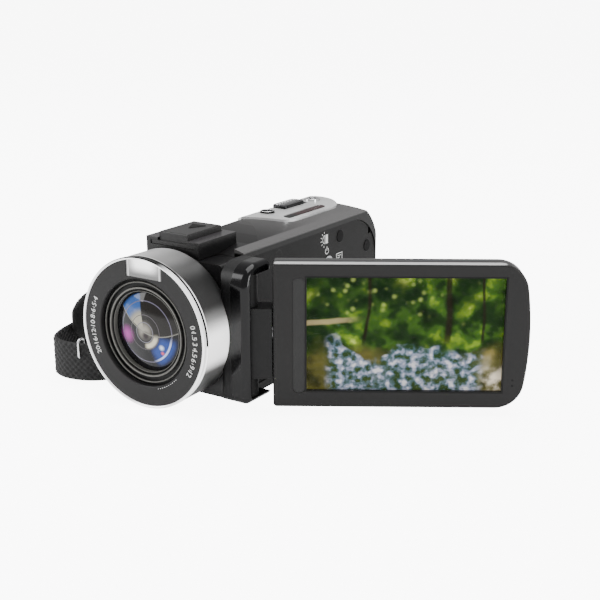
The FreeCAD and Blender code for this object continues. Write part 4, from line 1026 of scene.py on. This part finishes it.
weave_group, weave_in, weave_out = shader_group("plain_weave", [("Along", 0.0), ("Over", 0.0)],
                                                ["Height", "Thread"])
warp = op(weave_group, "SINE", op(weave_group, "MULTIPLY", weave_in.outputs["Along"], math.pi))
weft = op(weave_group, "SINE", op(weave_group, "MULTIPLY", weave_in.outputs["Over"], math.pi))
slant = op(weave_group, "ADD", weave_in.outputs["Along"], weave_in.outputs["Over"])
twist = op(weave_group, "SINE", op(weave_group, "MULTIPLY", slant, 5 * math.pi))
for wave, title in ((op(weave_group, "MULTIPLY", warp, weft), "Height"), (twist, "Thread")):
    raised = op(weave_group, "ADD", op(weave_group, "MULTIPLY", wave, 0.5), 0.5)
    weave_group.links.new(raised, weave_out.inputs[title])


def woven(name, dark, light, per_along, per_over, relief, sheen=0.15):
    """Cloth whose UV map counts metres along and across it."""
    material = bpy.data.materials.new(name)
    material.use_nodes = True
    tree = material.node_tree
    shader = tree.nodes["Principled BSDF"]
    uv = tree.nodes.new("ShaderNodeUVMap")
    uv.uv_map = "cloth"
    split = tree.nodes.new("ShaderNodeSeparateXYZ")
    tree.links.new(uv.outputs["UV"], split.inputs[0])
    weave = tree.nodes.new("ShaderNodeGroup")
    weave.node_tree = weave_group
    tree.links.new(op(tree, "MULTIPLY", split.outputs[0], per_along), weave.inputs["Along"])
    tree.links.new(op(tree, "MULTIPLY", split.outputs[1], per_over), weave.inputs["Over"])
    strands = op(tree, "ADD", op(tree, "MULTIPLY", weave.outputs["Thread"], 0.5), 0.5)
    mask = op(tree, "MULTIPLY", weave.outputs["Height"], strands)
    tree.links.new(blend_colour(tree, mask, dark, light), shader.inputs["Base Color"])
    bump = tree.nodes.new("ShaderNodeBump")
    bump.inputs["Strength"].default_value = relief
    bump.inputs["Distance"].default_value = 0.0004
    tree.links.new(mask, bump.inputs["Height"])
    tree.links.new(bump.outputs["Normal"], shader.inputs["Normal"])
    shader.inputs["Roughness"].default_value = 0.75
    shader.inputs["Sheen Weight"].default_value = sheen
    return material


STRAP_WIDE, STRAP_THICK, THREAD = 14.0, 1.5, 1.15
rows, columns = 420, 24
spots, strap_length = course(rows)
loop_steps = 2 * columns
points, faces = [], []
for row, (centre, inward) in enumerate(spots):
    for step in range(loop_steps):
        side = 1 if step < columns else -1
        across = step / (columns - 1) if side > 0 else (loop_steps - 1 - step) / (columns - 1)
        edge = min(across, 1 - across)
        thick = STRAP_THICK / 2 * (1 if edge > 0 else 0.45)
        lengthwise = strap_length * row / rows / THREAD
        knit = math.sin(math.pi * lengthwise) * math.sin(math.pi * across * STRAP_WIDE / THREAD)
        out = thick + (0.2 * knit if edge > 0 else 0)
        points.append((centre + inward * side * out + Vector((0, 0, (across - 0.5) * STRAP_WIDE))) * MM)
for row in range(rows):
    for step in range(loop_steps):
        a, b = row * loop_steps + step, row * loop_steps + (step + 1) % loop_steps
        faces.append((a, b, b + loop_steps, a + loop_steps))
faces += [tuple(range(loop_steps))[::-1], tuple(rows * loop_steps + i for i in range(loop_steps))]
webbing_paint = woven("webbing_weave", (0.0008, 0.0008, 0.0008), (0.016, 0.016, 0.0165), 1000 / THREAD,
                      1000 / THREAD, 0.7, 0.05)
webbing = solid("strap_webbing_woven", points, faces, webbing_paint, True)


def cloth_map(item, along, over):
    """A UV map in metres, worked out for each corner from its own point."""
    layer = item.data.uv_layers.new(name="cloth")
    for loop in item.data.loops:
        corner = item.data.vertices[loop.vertex_index].co
        layer.data[loop.index].uv = (along(corner), over(corner))


def nearest_along(corner):
    best = min(range(0, rows + 1, 4), key=lambda i: (spots[i][0] * MM - corner).xy.length_squared)
    return strap_length * MM * best / rows


layer = webbing.data.uv_layers.new(name="cloth")
for loop in webbing.data.loops:
    row = min(loop.vertex_index // loop_steps, rows)
    corner = webbing.data.vertices[loop.vertex_index].co
    layer.data[loop.index].uv = (strap_length * MM * row / rows, corner.z - spots[row][0].z * MM)
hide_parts("strap_webbing")
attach(webbing, "camera_body")

# ---- Strap keeper --------------------------------------------------------------------------------
# A loop of chromed wire that hooks over the upper edge of the webbing, beside the front anchor.
# It is bent from one length, and the webbing that runs through it holds it in place.
KEEPER_PLACE = Vector((-37.5, -50.1, 13.2)) * MM
KEEPER_HALF, KEEPER_DEEP, KEEPER_ROUND, KEEPER_WIRE = 3.4, 1.7, 1.2, 0.45
through = Vector((-0.22, 0.975, 0)).normalized()
keeper_path = []
for side_z, side_n, first in ((1, 1, 0), (1, -1, 90), (-1, -1, 180), (-1, 1, 270)):
    for i in range(7):
        turn = math.radians(first + 15 * i)
        rise = side_z * (KEEPER_HALF - KEEPER_ROUND) + KEEPER_ROUND * math.sin(turn)
        reach_out = side_n * (KEEPER_DEEP - KEEPER_ROUND) + KEEPER_ROUND * math.cos(turn)
        keeper_path.append(KEEPER_PLACE + (Vector((0, 0, rise)) + through * reach_out) * MM)
keeper = hoop("strap_wire_keeper", keeper_path, through.cross(UP), KEEPER_WIRE * MM, chrome)
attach(keeper, "camera_body")

# ---- Hand strap pad ------------------------------------------------------------------------------
# A foam pad in smooth black cloth, between the webbing and the back of the hand.
# Its cover is cut in two halves, sewn shut round the edge and blown up by the filling.
PAD_START, PAD_END = 0.30, 0.845
PAD_LOW, PAD_HIGH, PAD_THICK = 6.3, 30.2, 4.0
pad_rows, pad_steps = 90, 40


def pad_spot(row):
    """Which place along the strap a row of the pad lies at."""
    return round(rows * (PAD_START + (PAD_END - PAD_START) * (row / pad_rows)))


points, faces = [], []
for row in range(pad_rows + 1):
    part = row / pad_rows
    centre, inward = spots[pad_spot(row)]
    taper = min(1.0, math.sqrt(max(0.0, 1 - (abs(part - 0.5) * 2) ** 6)) + 0.02)
    middle = (PAD_LOW + PAD_HIGH) / 2
    front_round = math.sqrt(max(0.0, 1 - (1 - min(part / 0.3, 1.0)) ** 2))
    half = (PAD_HIGH - PAD_LOW) / 2 * (0.55 + 0.45 * taper) * (0.35 + 0.65 * front_round)
    for step in range(pad_steps):
        turn = 2 * math.pi * step / pad_steps
        c, s = math.cos(turn), math.sin(turn)
        z = middle + half * math.copysign(abs(s) ** 0.55, s)
        deep = PAD_THICK / 2 * taper * math.copysign(abs(c) ** 0.6, c)
        away = STRAP_THICK / 2 + 0.3 + PAD_THICK / 2 + deep
        points.append((Vector((centre.x, centre.y, z)) + inward * away) * MM)
for row in range(pad_rows):
    for step in range(pad_steps):
        a, b = row * pad_steps + step, row * pad_steps + (step + 1) % pad_steps
        faces.append((a, b, b + pad_steps, a + pad_steps))
faces += [tuple(range(pad_steps))[::-1], tuple(pad_rows * pad_steps + i for i in range(pad_steps))]
pad_paint = woven("pad_cloth", (0.0015, 0.0015, 0.0015), (0.005, 0.005, 0.005), 2200.0, 2200.0, 0.25, 0.01)
pad = solid("strap_pad_sewn", points, faces, pad_paint, True)


def stuffed(item, grow, voxel, cap):
    """Blow up a sewn cover from inside as its filling does, with each point's move capped in metres."""
    scene = bpy.context.scene
    item.data.transform(Matrix.Scale(grow, 4))
    remesh = item.modifiers.new("even_net", "REMESH")
    remesh.mode = "VOXEL"
    remesh.voxel_size = voxel * grow
    bpy.context.view_layer.update()
    net = worked(item)
    item.modifiers.clear()
    item.data = net
    cloth = item.modifiers.new("filling", "CLOTH")
    cloth.settings.use_pressure = True
    cloth.settings.uniform_pressure_force = 4.0
    cloth.settings.effector_weights.gravity = 0.0
    for moment in range(1, 21):
        scene.frame_set(moment)
    blown = worked(item)
    item.modifiers.clear()
    for still, moved in zip(net.vertices, blown.vertices):
        step = moved.co - still.co
        if step.length > cap * grow:
            moved.co = still.co + step.normalized() * cap * grow
    scene.frame_set(1)
    blown.transform(Matrix.Scale(1 / grow, 4))
    item.data = blown
    smooth = item.modifiers.new("smooth", "SUBSURF")
    smooth.levels = smooth.render_levels = 1
    bpy.context.view_layer.update()
    item.data = worked(item)
    item.modifiers.clear()
    for face in item.data.polygons:
        face.use_smooth = True


stuffed(pad, grow=20.0, voxel=0.0013, cap=0.0006)
cloth_map(pad, nearest_along, lambda corner: corner.z)
STITCH_IN = 1.6
stitch_spots = []
for row in range(6, pad_rows - 6, 2):
    centre, inward = spots[pad_spot(row)]
    rising = spots[pad_spot(row) + 1][0] - centre
    heading = Vector((rising.x, rising.y, 0)).normalized()
    top_z = max(p.z for p in points[row * pad_steps:(row + 1) * pad_steps])
    outside = Vector((centre.x, centre.y, 0)) * MM + Vector((0, 0, top_z - STITCH_IN * MM))
    outside -= inward * 8 * MM
    hit, spot, normal, face = pad.ray_cast(outside, inward)
    if hit:
        stitch_spots.append((spot, normal, heading))
studded("pad_stitches", tick_tree, stitch_spots, (0.35, 1.5, 0.2),
        finish("stitch_thread", (0.05, 0.05, 0.05), (0.08, 0.08, 0.08), 0.8), "camera_body")
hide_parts("strap_pad")
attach(pad, "camera_body")
